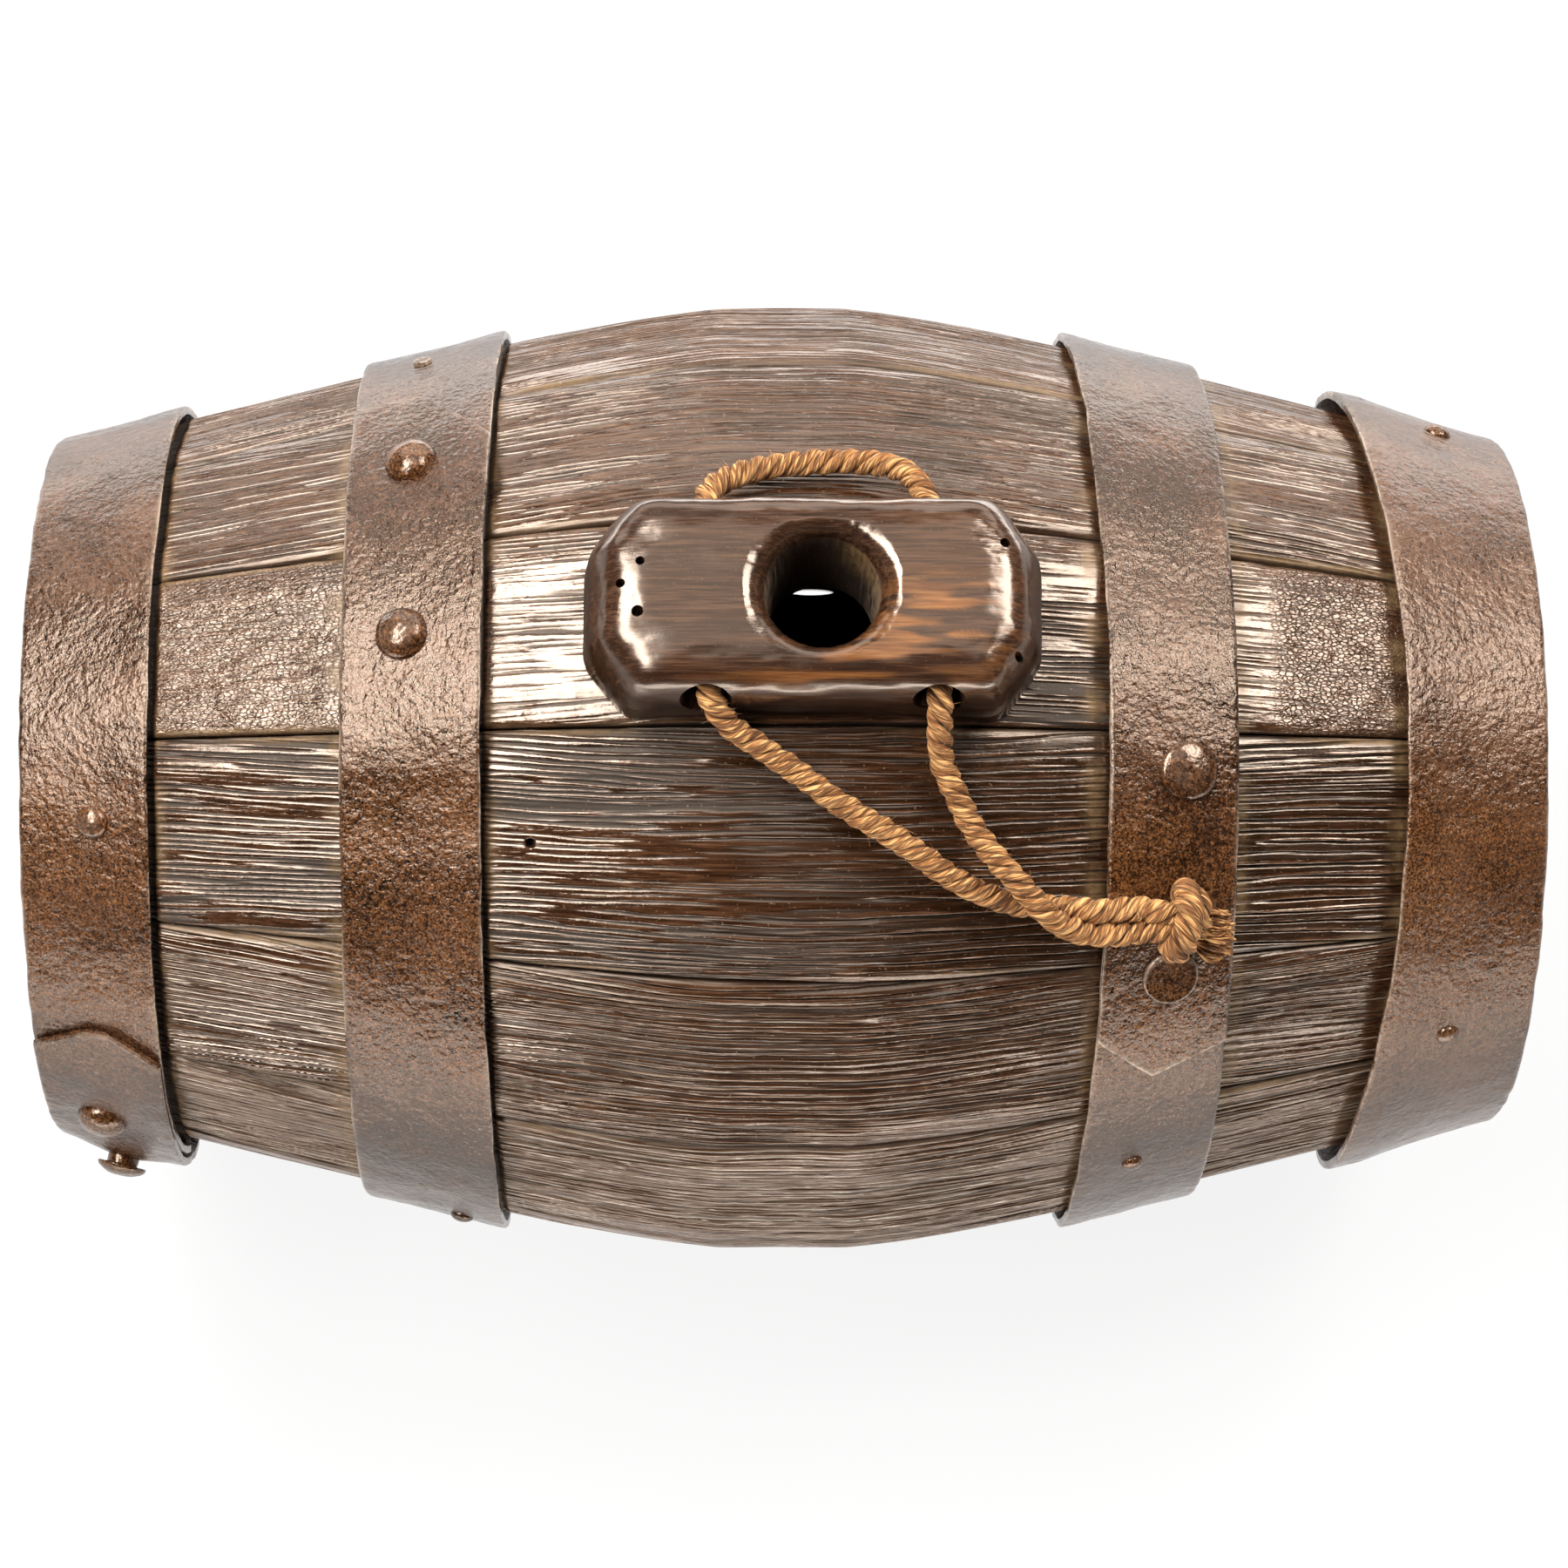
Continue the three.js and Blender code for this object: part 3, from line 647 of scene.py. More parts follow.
TAIL_YARN_LENGTH = 8 * MM
TAIL_YARN_RADIUS = 0.27 * MM
TAIL_YARN_SIDES = 6
TAIL_SEED = 79


def over_axis(route):
    return np.array(route) * MM + (0, 0, AXIS_HEIGHT)


def over_staves(route):
    x, degrees, lift = np.array(route).T
    return around(x * MM, stave_radius(x * MM) + lift * MM, degrees)


def in_knot(route):
    """Points of the knot's own frame in the row frame."""
    x, degrees, lift = KNOT_PLACE
    left, right = over_staves([(x - 1, degrees, lift), (x + 1, degrees, lift)])
    upper, lower = over_staves([(x, degrees - 1, lift), (x, degrees + 1, lift)])
    ahead, up = unit(right - left), unit(upper - lower)
    return over_staves([KNOT_PLACE])[0] + np.array(route) * MM @ np.stack([ahead, up, np.cross(ahead, up)])


def smooth_path(points):
    """Even steps along the centripetal Catmull-Rom curve through points."""
    gaps = np.sqrt(np.linalg.norm(np.diff(points, axis=0), axis=1))[:, None]
    slopes = np.diff(points, axis=0) / gaps
    inner = (slopes[:-1] * gaps[1:] + slopes[1:] * gaps[:-1]) / (gaps[1:] + gaps[:-1])
    tangents = np.concatenate([slopes[:1], inner, slopes[-1:]])
    t = np.linspace(0, 1, CURVE_STEPS, endpoint=False)[:, None]
    pieces = []
    for k, gap in enumerate(gaps):
        pieces.append(
            (1 + 2 * t) * (1 - t) ** 2 * points[k] + t * (1 - t) ** 2 * gap * tangents[k]
            + t * t * (3 - 2 * t) * points[k + 1] + t * t * (t - 1) * gap * tangents[k + 1]
        )
    line = np.concatenate([*pieces, points[-1:]])
    return evened(line, max(int(run_along(line)[-1] / ROPE_STEP), 8))


def frames_along(path):
    """Two directions square to the path at each point, turning no more than the path does."""
    ahead = unit(np.gradient(path, axis=0))
    side = np.cross(ahead[0], FRAME_START)
    sides = []
    for direction in ahead:
        side = unit(side - direction * (side @ direction))
        sides.append(side)
    return ahead, np.array(sides), np.cross(ahead, sides)


def laid_rope(path, seed, radius=ROPE_RADIUS, hairs=ROPE_HAIRS):
    """The form and values of three strands laid round a path, with loose hairs."""
    ahead, side, other = frames_along(path)
    run = run_along(path)
    turn = circle(STRAND_SIDES)
    parts, skins = [], []
    for k in range(STRANDS):
        twist = -2 * np.pi * (run / ROPE_LAY + k / STRANDS)
        out = np.cos(twist)[:, None] * side + np.sin(twist)[:, None] * other
        wobble = 1 + STRAND_WOBBLE[0] * noise(seed + k, run / STRAND_WOBBLE[1])
        centre = path + out * (radius * STRAND_OFFSET * wobble)[:, None]
        tangent = unit(np.gradient(centre, axis=0))
        across = unit(np.cross(tangent, out))
        outward = spokes(np.cross(across, tangent), across, turn)
        yarns = 1 + YARN_HEIGHT * np.sin(YARNS * turn[None] + run[:, None] / YARN_LAY)
        bumps = noise(seed + 20 + k, run[:, None] / STRAND_LUMPS[1], 1.3 * np.cos(turn)[None])
        lumps = 1 + STRAND_LUMPS[0] * bumps
        rings = centre[:, None] + outward * (radius * STRAND_RADIUS * (yarns * lumps)[..., None])
        along = np.broadcast_to(run[:, None], rings.shape[:2])
        lay = along / ROPE_LAY * 0.8 + turn[None] / (2 * np.pi)
        strand = np.stack([along, lay, np.full_like(along, k + seed * 0.37)], -1).reshape(-1, 3)
        depth = np.linalg.norm(rings - path[:, None], axis=-1) / radius
        parts.append((loft(rings), {"strand": strand, "crevice": soft_step(*CREVICE, depth).ravel()}))
        skins.append((rings, outward))
    parts += loose_hairs(skins, ahead, seed, int(run[-1] * hairs))
    return joined(parts)


def loose_hairs(skins, ahead, seed, count):
    """Thin curved fibres that stand off the strands, each with its values."""
    random = np.random.default_rng(seed)
    t = np.linspace(0, 1, HAIR_POINTS)[:, None]
    for _ in range(count):
        rings, outward = skins[random.integers(len(skins))]
        i, j = random.integers(len(rings)), random.integers(rings.shape[1])
        out = outward[i, j] * random.uniform(0.2, 0.9) + ahead[i] * random.normal(0, 0.8)
        out = out + random.normal(0, 0.35, 3)
        bend = random.uniform(-0.6, 0.6, 3)
        length = HAIR_LENGTH * random.uniform(0.35, 1) ** 1.5
        line = rings[i, j] + length * (unit(out) * t + bend * t * t * 0.5)
        flat = unit(np.cross(out, HAIR_LEAN))
        corners = spokes(flat[None], unit(np.cross(out, flat))[None], HAIR_CORNERS)
        form = loft(line[:, None] + corners * (HAIR_RADIUS * (1 - 0.8 * t))[:, None])
        strand = np.full((len(form[0]), 3), random.uniform(0, 9))
        yield form, {"strand": strand, "crevice": np.zeros(len(strand))}


def tail_yarns():
    """The yarns of the rope's two cut ends, which fan out of the knot, each with its values."""
    random = np.random.default_rng(TAIL_SEED)
    t = np.linspace(0, 1, TAIL_YARN_POINTS)[:, None]
    turn = circle(TAIL_YARN_SIDES)
    along = np.repeat(t[:, 0] * TAIL_YARN_LENGTH, TAIL_YARN_SIDES)
    for _ in range(TAIL_YARNS):
        angle, share = random.uniform(0, 2 * np.pi), np.sqrt(random.uniform(0.05, 1))
        spot = np.array([0, share * np.cos(angle), share * np.sin(angle)])
        start, end = TAIL_START + spot * TAIL_START_SPREAD, TAIL_END + spot * TAIL_END_SPREAD
        end[0] += random.normal(0, 0.5) - 1.5 * (1 - share)
        sway = random.normal(0, 0.9, 3) * (0.5, 1, 1)
        line = in_knot(start + (end - start) * t + sway * np.sin(np.pi * t))
        _, side, other = frames_along(line)
        thickness = TAIL_YARN_RADIUS * random.uniform(0.7, 1.2) * (1 - 0.35 * t[..., None])
        form = loft(line[:, None] + spokes(side, other, turn) * thickness)
        strand = np.stack([along, np.full_like(along, random.uniform(0, 9)), np.full_like(along, 5.0)], -1)
        # yarns nearer the middle of a cut end are painted darker, as shade, with some random tone
        shaded = 0.65 * (1 - share) + random.uniform(0, 0.3)
        yield form, {"strand": strand, "crevice": np.full_like(along, shaded)}


def add_knot():
    """The turn and the loop that the legs are tied in, and their two cut ends."""
    parts = [
        laid_rope(smooth_path(in_knot(route)), seed, ROPE_RADIUS * thickness, KNOT_HAIRS)
        for route, thickness, seed in KNOT_RUNS
    ]
    mesh = make_mesh("rope_knot", *joined([*parts, *tail_yarns()]))
    return dress("rope_knot", "laid", mesh, ROPE_FIBRE, "rope_loop")


def add_ropes():
    x, y, z = frame["joints"][0]["pos_m"]
    path = smooth_path(over_axis(ARCH_ROUTE))
    mesh = make_mesh("rope_arch", *laid_rope(path, ARCH_SEED))
    arch = dress("rope_arch", "laid", mesh, ROPE_FIBRE)
    knot = add_knot()
    for node, hole, leg, end, seed in LEGS:
        path = smooth_path(np.concatenate([over_axis(hole), over_staves(leg), in_knot(end)]))
        piece = add_object(f"{node}_laid", make_mesh(node, *laid_rope(path, seed)), ROPE_FIBRE)
        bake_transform(piece, "keg", "rope_loop", start=(x, y + BEND_REACH, z), end=(x, y - BEND_REACH, z))
        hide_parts(node)
        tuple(over_axis(hole)[-1])


# Staves: seam angles, the depth of the grain and the finish differ from stave to stave
STAVE_SEED = 100
SEED_STEP = 100                 # from one stave, hoop or head to the next
STAVE_STEP = 1.5 * MM
OUTER_POINTS = 300
INNER_POINTS = 10
SIDE_POINTS = 2
EDGE_CROWDING = 0.03            # how far the points of the outside crowd to its edges
SEAM_BENDS = {1: (1.5, 0.8), 3: (1.5, 3.2)}     # by front seam: skew along the keg, bow at the bilge, degrees
GRAIN_DEPTHS = {
    "bung_stave": 0.30, "stave_front_1": 0.50, "stave_front_2": 0.62, "stave_front_3": 0.70,
    "stave_back_1": 0.46, "stave_back_2": 0.55,
}
USUAL_GRAIN_DEPTH = 0.6
GRAIN_LEVELS = {"stave_front_1": -0.05, "stave_front_2": 0.16, "stave_front_3": 0.04, "stave_back_1": 0.2}
USUAL_GRAIN_LEVEL = 0.06        # the higher, the fewer and finer the cracks between the ridges
# tone by stave: the lowest front staves are painted lighter, standing in for light from the floor in front;
# the others differ from stave to stave
STAVE_TONES = {
    "bung_stave": 0.5, "stave_front_1": 0.0, "stave_front_2": 0.7, "stave_front_3": 2.0, "stave_front_4": 1.8,
    "stave_back_1": 0.2, "stave_back_2": 0.6,
}
USUAL_TONE = 0.5
RING_SPACING = 1.2 * MM
CRESTS = {
    # X from which and by which thin crests stand on a stave, their share and spacing, how much of the usual
    # grain stays between them, and how much lighter they are painted, as a highlight on the crests
    "stave_front_1": (-25 * MM, 35 * MM, 1.0, 2.1 * MM, 0.12, 1.5),
    "stave_front_2": (-300 * MM, -200 * MM, 0.9, 1.55 * MM, 0.40, 3.2),
    "stave_front_3": (-300 * MM, -200 * MM, 0.8, 1.7 * MM, 0.45, 3.6),
}
NO_CRESTS = (0.0, 2 * MM, 1.0)
CREST_LAG = 0.18                # how far the dark line under a crest, painted shade over a groove, lies behind it, in spacings
MARGINS = {
    # X from which and to which a stave is rubbed smooth along its lower edge, and how far up; the band is
    # also
    # # painted lighter there, as a sheen on the worn lip
    "stave_front_1": (-8 * MM, 50 * MM, 2.4 * MM),
    "stave_front_2": (-4 * MM, 58 * MM, 8 * MM),
}
MARGIN_FADE = 14 * MM
EDGE_ROUND = (1.3 * MM, 0.5 * MM)       # depth and reach
EDGE_CHIPS = (0.6 * MM, 1.2 * MM)
RUBBED_ROUND = (0.8 * MM, 1.3 * MM)
END_ROUND = (0.6 * MM, 0.9 * MM)
EDGE_SHADE = 0.8 * MM
BARE_WOOD = {"furrow": 0.25, "dirt": 0.05, "tone": 0.5}     # on a stave's sides and inside, which are painted partly dark, as shade
DIRT_LEVEL = 0.8
SEAM_DIRT = (0.9 * MM, 0.6 * MM)        # distance from a stave's edge and spread
HOOP_DIRT = 1.6 * MM
HOOP_SIDES = (-123, -87, -57.7, 59, 88, 120)    # places along X, in millimetres, where dirt heaps up
GAP_HOOPS = {"left_end": 1.4 * MM, "left_quarter": 0.8 * MM}    # gaps beside the hoops' right edges, painted dark as their shadow over a shallow groove
GAP_STATIONS = ((-124.4, -121.6), (-59.2, -55.2))       # X between which rings of points lie closer
GAP_STEP = 0.45
GAP_DEPTH = 0.6 * MM
WORM_STAVE = "stave_front_1"
WORM_HOLE = (-49.2 * MM, 26.3, 1.0 * MM)        # X, angle and radius
WORM_HOLE_DEPTH = 3 * MM
WORM_HOLE_STATIONS = np.linspace(-1.5, 1.5, 13)     # in hole radii
SMOOTH_REACH = (-30 * MM, -75 * MM)             # X between which the bung stave turns smooth
WRINKLED_REACH = (85 * MM, 100 * MM)            # and wrinkled
SPLIT_STAVE = "stave_back_5"                    # light shows through its split, seen in the bung hole
SPLIT_PLACE = (8 * MM, -134)                    # X and angle
SPLIT_SIZE = (10.5 * MM, 1.5 * MM)
SPLIT_LEAN = (0, 0.32, -0.947)                  # the way through the stave
SPLIT_SIDES = 24


def lay_staves():
    """Each stave's name, with its two seams as (angle, skew, bow)."""
    half = BUNG_STAVE_WIDTH / 2
    front, back = [(half, 0, 0)], [(-half, 0, 0)]
    for k, width in enumerate(FRONT_WIDTHS, 1):
        front.append((front[-1][0] + width, *SEAM_BENDS.get(k, (0, 0))))
    for width in BACK_WIDTHS:
        back.append((back[-1][0] - width, 0, 0))
    staves = [("bung_stave", back[0], front[0])]
    staves += [(f"stave_front_{k}", front[k - 1], front[k]) for k in range(1, len(front))]
    staves += [(f"stave_back_{k}", back[k], back[k - 1]) for k in range(1, len(back))]
    last = (front[-1][0] + BOTTOM_STAVE_WIDTH, 0, 0)
    return staves + [("stave_bottom", front[-1], last)]


def stave_stations():
    """Places along X with a ring of points each, closer where a hole, a gap or a groove needs them."""
    groove = [CROZE_CENTRE + side * half / 2 for side in (-1, 1) for half in (CROZE_MOUTH, CROZE_FLOOR)]
    even = np.linspace(-HALF_LENGTH, HALF_LENGTH, round(2 * HALF_LENGTH / STAVE_STEP) + 1)
    fine = WORM_HOLE[0] + WORM_HOLE_STATIONS * WORM_HOLE[2]
    gaps = np.concatenate([np.arange(*reach, GAP_STEP) * MM for reach in GAP_STATIONS])
    return np.unique(np.concatenate([even, fine, gaps, groove, np.negative(groove)]).round(7))


def thickness_at(x):
    """A stave's thickness along X, with the groove for the head and the bevel of its end."""
    mouth, floor = CROZE_MOUTH / 2, CROZE_FLOOR / 2
    groove = STAVE_THICKNESS - CROZE_DEPTH
    steps = (
        (CROZE_CENTRE - mouth, STAVE_THICKNESS), (CROZE_CENTRE - floor, groove),
        (CROZE_CENTRE + floor, groove), (CROZE_CENTRE + mouth, STAVE_THICKNESS),
        (HALF_LENGTH, CHIME_THICKNESS),
    )
    return np.interp(np.abs(x), *zip(*steps))


def seam_angle(seam, x):
    angle, skew, bow = seam
    share = x / HALF_LENGTH
    return angle + skew * share + bow * (1 - share * share) * 0.5


def wood_relief(seed, x, across, depth, level=USUAL_GRAIN_LEVEL, crests=NO_CRESTS):
    """How deep the open grain lies, in metres, and how far a point is in a furrow, which is painted as shade,
    and on a crest, from 0 to 1.
    """
    wander = 1.8 * MM * fractal(seed, x / (80 * MM), across / (18 * MM))
    wander = wander + 0.3 * MM * fractal(seed + 5, x / (13 * MM), across / (3 * MM))
    lane = across + wander
    spread = 1.3 * noise(seed + 6, x / (110 * MM), across / (8 * MM))
    rings = wave(lane / RING_SPACING + spread)
    broad = streaks(seed + 10, x / (26 * MM), lane / (0.52 * MM))
    narrow = streaks(seed + 20, x / (11 * MM), lane / (0.30 * MM))
    patch = fractal(seed + 30, x / (34 * MM), across / (8 * MM))
    value = 0.32 * rings + 0.52 * broad + 0.50 * narrow + 0.45 * patch
    furrow = soft_step(level, level + 0.36, value)
    hollow = 0.7 * furrow + 0.3 * soft_step(-0.9, 0.9, value)
    crested, spacing, kept = crests
    phase = lane / spacing + 0.5 * spread
    breaks = 0.3 * streaks(seed + 25, x / (12 * MM), lane / MM)
    lagging = wave(phase - CREST_LAG)
    crest = crested * soft_step(0.72, 1.0, wave(phase) + breaks)
    under = crested * soft_step(0.66, 0.96, lagging + breaks) * (1 - crest)
    between = crested * (kept * hollow + 0.4 + 0.12 * lagging)
    hollow = hollow * (1 - crested) + between - 0.4 * crest + 1.5 * under
    furrow = np.maximum(furrow * (1 - 0.74 * (1 - kept) * crested) * (1 - crest), under)
    swell = 0.20 * MM * fractal(seed + 40, x / (30 * MM), across / (6 * MM), octaves=2)
    return depth * hollow * (0.8 + 0.5 * patch) + 0.12 * MM + swell, furrow, crest


def bung_stave_wear(seed, x, across, relief, furrow):
    """The bung stave's relief, rubbed smooth at its left and wrinkled like leather at its right."""
    smooth, wrinkled = soft_step(*SMOOTH_REACH, x), soft_step(*WRINKLED_REACH, x)
    leather = 0.3 * MM + 0.24 * MM * fractal(seed + 80, x / (3.6 * MM), across / (2.4 * MM) + x / (6 * MM))
    waves = 0.24 * MM * fractal(seed + 90, x / (8 * MM), across / (6 * MM))
    relief = relief * (1 - 0.8 * smooth) * (1 - 0.75 * wrinkled) + leather * wrinkled + waves * smooth
    return relief, furrow * (1 - 0.7 * smooth) * (1 - 0.6 * wrinkled)


def rounded(distance, size):
    depth, reach = size
    return depth * fade(distance, reach)


def rubbed_margin(name, seed, x, lower):
    """How far a point lies on a stave's rubbed lower edge, from 0 to 1."""
    low, high, reach = MARGINS[name]
    rubbed = soft_step(low, low + MARGIN_FADE, x) * soft_step(high, high - MARGIN_FADE, x)
    return rubbed * soft_step(reach, 0.6 * reach, lower + 1.2 * MM * noise(seed + 45, x / (6 * MM)))


def hoop_gap_shadow(x, degrees):
    """How far a point lies in the gap beside a hoop's right edge, painted dark as its shadow, from 0 to 1."""
    lean = np.sin(np.radians(degrees - BOW_ANGLE)) ** 2
    gaps = []
    for name, width in GAP_HOOPS.items():
        rim = (HOOPS[name]["edges"][1] + HOOPS[name]["bow"][1] * lean) * MM
        gaps.append(soft_step(width, 0.5 * width, np.abs(x - rim)))
    return np.max(gaps, 0)


def stave_grain(points, seed):
    """Places along and across the grain, which differ from stave to stave."""
    x, radius, degrees = keg_place(points)
    return np.stack([x + seed, np.radians(degrees) * BILGE_RADIUS, radius], -1)


def stave_dirt(seed, x, edge):
    """Dirt that lies along a stave's edges and beside the hoops."""
    lies = soft_step(-0.2, 0.6, fractal(seed + 60, x / (45 * MM), np.ones_like(edge)))
    beside = np.min([np.abs(x - place * MM) for place in HOOP_SIDES], 0)
    heaped = soft_step(-0.5, 0.5, fractal(seed + 65, x / (20 * MM), edge / (5 * MM)))
    place, spread = SEAM_DIRT
    return DIRT_LEVEL * np.maximum(bell(edge - place, spread) * lies, bell(beside, HOOP_DIRT) * heaped)


def stave_surface(name, seed, x, degrees, start, end):
    """Radius of a stave's outside, with its furrows and their painted shade, dirt, and a tone that holds
    painted highlights and painted floor light.
    """
    outer = stave_radius(x)
    lean = np.radians(degrees - (start + end) / 2)
    flat = np.radians(CROWN_FLAT * (end - start) / 2)
    crown = np.cos(flat) / np.cos(np.clip(lean, -flat, flat))
    lower = (end - degrees) * np.radians(1) * outer
    edge = np.minimum((degrees - start) * np.radians(1) * outer, lower)
    crests, crest_highlight = NO_CRESTS, 0.0
    if name in CRESTS:
        low, high, most, spacing, kept, crest_highlight = CRESTS[name]
        crests = (most * soft_step(low, high, x), spacing, kept)
    depth = GRAIN_DEPTHS.get(name, USUAL_GRAIN_DEPTH) * MM
    level = GRAIN_LEVELS.get(name, USUAL_GRAIN_LEVEL)
    relief, furrow, crest = wood_relief(seed, x, lean * outer, depth, level, crests)
    # the crests are painted lighter, as highlights on them
    tone = STAVE_TONES.get(name, USUAL_TONE) - 0.55 * crests[0] + crest_highlight * crest
    if name == "bung_stave":
        relief, furrow = bung_stave_wear(seed, x, lean * outer, relief, furrow)
    if name == WORM_STAVE:
        away = np.hypot(x - WORM_HOLE[0], np.radians(degrees - WORM_HOLE[1]) * outer)
        hole = soft_step(WORM_HOLE[2], 0.6 * WORM_HOLE[2], away)
        # the worm hole is cut in and also painted dark inside, as shade
        relief, furrow = relief + WORM_HOLE_DEPTH * hole, np.maximum(furrow, hole)
    chips = soft_step(0.1, 0.7, fractal(seed + 50, x / (14 * MM), np.sign(lean) * 3))
    rounding = rounded(edge, EDGE_ROUND) + chips * rounded(edge, EDGE_CHIPS)
    # painted shade along the seams
    furrow = np.maximum(furrow, fade(edge, EDGE_SHADE))
    if name in MARGINS:
        rubbed = rubbed_margin(name, seed, x, lower)
        relief, furrow = relief * (1 - 0.8 * rubbed), furrow * (1 - 0.9 * rubbed)
        rounding = rounding + (rounded(edge, RUBBED_ROUND) - rounding) * rubbed
        # the rubbed band is painted lighter, as a sheen along the worn lip
        tone = tone + 0.6 * rubbed
    gap = hoop_gap_shadow(x, degrees)
    # painted shadow in the gap beside a hoop, over a shallow groove
    relief, furrow = relief + GAP_DEPTH * gap, np.maximum(furrow, gap)
    ends = rounded(HALF_LENGTH - np.abs(x), END_ROUND)
    radius = outer * crown - np.maximum(relief, 0) - rounding - ends
    dirt = stave_dirt(seed, x, edge) * (1 - gap)
    return radius, {"furrow": furrow, "dirt": dirt, "tone": np.broadcast_to(tone, furrow.shape)}


def stave_form(name, first, last, seed):
    """A stave's loft, with a finely grained outside and plain sides and inside."""
    x = stave_stations()[:, None]
    outer = stave_radius(x)
    start, end = seam_angle(first, x), seam_angle(last, x)
    trim = np.degrees(SEAM_GAP / 2 / outer)
    share = np.linspace(0, 1, OUTER_POINTS)[None]
    share = share - EDGE_CROWDING * wave(share)
    degrees = start + trim + share * (end - start - 2 * trim)
    radius, surface = stave_surface(name, seed, x, degrees, start, end)
    skin = around(x, radius, degrees)
    inner = outer - thickness_at(x)
    inner_trim = np.degrees(SEAM_GAP / 2 / inner)
    inner_share = np.linspace(1, 0, INNER_POINTS)[None]
    lining = around(x, inner, start + inner_trim + inner_share * (end - start - 2 * inner_trim))
    steps = np.linspace(0, 1, SIDE_POINTS + 2)[1:-1][None, :, None]
    down = skin[:, -1:] + (lining[:, :1] - skin[:, -1:]) * steps
    up = lining[:, -1:] + (skin[:, :1] - lining[:, -1:]) * steps
    rings = np.concatenate([skin, down, lining, up], 1)
    bare = np.ones((len(x), rings.shape[1] - OUTER_POINTS))
    values = {"grain": stave_grain(rings.reshape(-1, 3), seed)}
    for key, value in surface.items():
        values[key] = np.concatenate([value, BARE_WOOD[key] * bare], 1).ravel()
    return loft(rings), values


def add_staves():
    for k, (name, first, last) in enumerate(lay_staves()):
        seed = STAVE_SEED + SEED_STEP * k
        mesh = make_mesh(name, *stave_form(name, first, last, seed))
        if name == "bung_stave":
            mesh = with_block(mesh, seed)
        if name == SPLIT_STAVE:
            mesh = combined(mesh, [(split_form(), "DIFFERENCE")])
        dress(name, "weathered", mesh, STAVE_WOOD)


def split_form():
    """A narrow slit through a stave."""
    x, degrees = SPLIT_PLACE
    middle = around(x, stave_radius(x) - STAVE_THICKNESS / 2, degrees)
    lean = np.array(SPLIT_LEAN)
    across = np.cross((1, 0, 0), lean)
    turn = circle(SPLIT_SIDES)
    length, width = SPLIT_SIZE
    outline = np.cos(turn)[:, None] * (length / 2, 0, 0) + np.sin(turn)[:, None] * across * width / 2
    return loft(middle + outline[None] + lean * np.array([-1, 0, 1])[:, None, None] * 1.5 * STAVE_THICKNESS)


# Block hewn in one with the bung stave: height over the keg's axis, length and width, in millimetres
BLOCK_CENTRE = 5 * MM
BLOCK_RINGS = (
    (88, 88, 38), (97, 88, 41), (105, 86.5, 41), (110.5, 82, 39), (112.6, 78, 36), (113.7, 73.5, 32),
    (114.5, 64, 24), (114.6, 30, 10), (114.6, 2, 1),
)
BLOCK_CORNER = (8, 11)
BLOCK_SIZE = (88, 41)
BLOCK_SIDES = 300
BLOCK_LEVELS = 120
BLOCK_SOFTNESS = 4              # how many steps its corners are rounded over
BUNG_CENTRE = 6.5 * MM
BUNG_PROFILE = (
    (8.9, 80), (10.3, 86), (10.6, 105), (10.8, 108.6), (11.3, 111), (12.2, 112.8), (13.5, 113.9),
    (15.2, 114.5), (21, 115.6), (21, 122),
)
BUNG_SIDES = 360
BUNG_SCRATCHES = 0.10 * MM
BORE_RADIUS = 11.2 * MM         # points this close to the bung hole's middle, and this low, are in it and are painted dark as shade
BORE_TOP = 110 * MM
ROPE_HOLES = (-15.5, 28.4)
ROPE_HOLE_HEIGHT = 106.5
ROPE_HOLE_PROFILE = (
    (5.3, -30), (5.1, -21), (4.7, -18), (4.5, -14), (4.5, 15), (4.8, 19), (5.2, 22), (5.3, 30),
)
ROPE_HOLE_SIDES = 64
WORM_HOLES = (
    # X, Y, radius on the top of the block
    (-27.9, 4.9, 0.9), (-31.6, 0.6, 0.9), (-28.4, -5.2, 1.15), (41.0, 9.0, 1.0), (43.4, -12.7, 0.85),
)
WORM_DEPTH = 8 * MM
WORM_LENGTH = 30
WORM_SIDES = 16
WORN_SPOTS = (
    # X, Y, length, width and share of the places where the block's top is worn to bare wood
    (29, -7, 13, 8, 1.0), (8, -16, 20, 4, 0.8),
)
WORN_HEIGHTS = (107 * MM, 111 * MM)     # heights over the axis between which the wear starts
SHADED_SIDES = (108 * MM, 104 * MM)       # and those between which the block's sides are painted darker, as shade
BLOCK_FOOT = (0.4 * MM, 1.4 * MM)       # how far over the stave's face the block starts
BLOCK_MARGIN = 0.6 * MM                 # how far it may reach past its plain size
UNDER_SKIN = -0.6 * MM                  # points lower than this under the stave's face aren't on its outside and are painted dark as shade
TORN_PLACE = 8 * MM                     # right of the bung hole's middle, where torn fibres line it
TORN_SPREAD = 4 * MM
TORN_HEIGHTS = (96 * MM, 106 * MM)
SHARP_ANGLE = 50
PROFILE_STEPS = 60


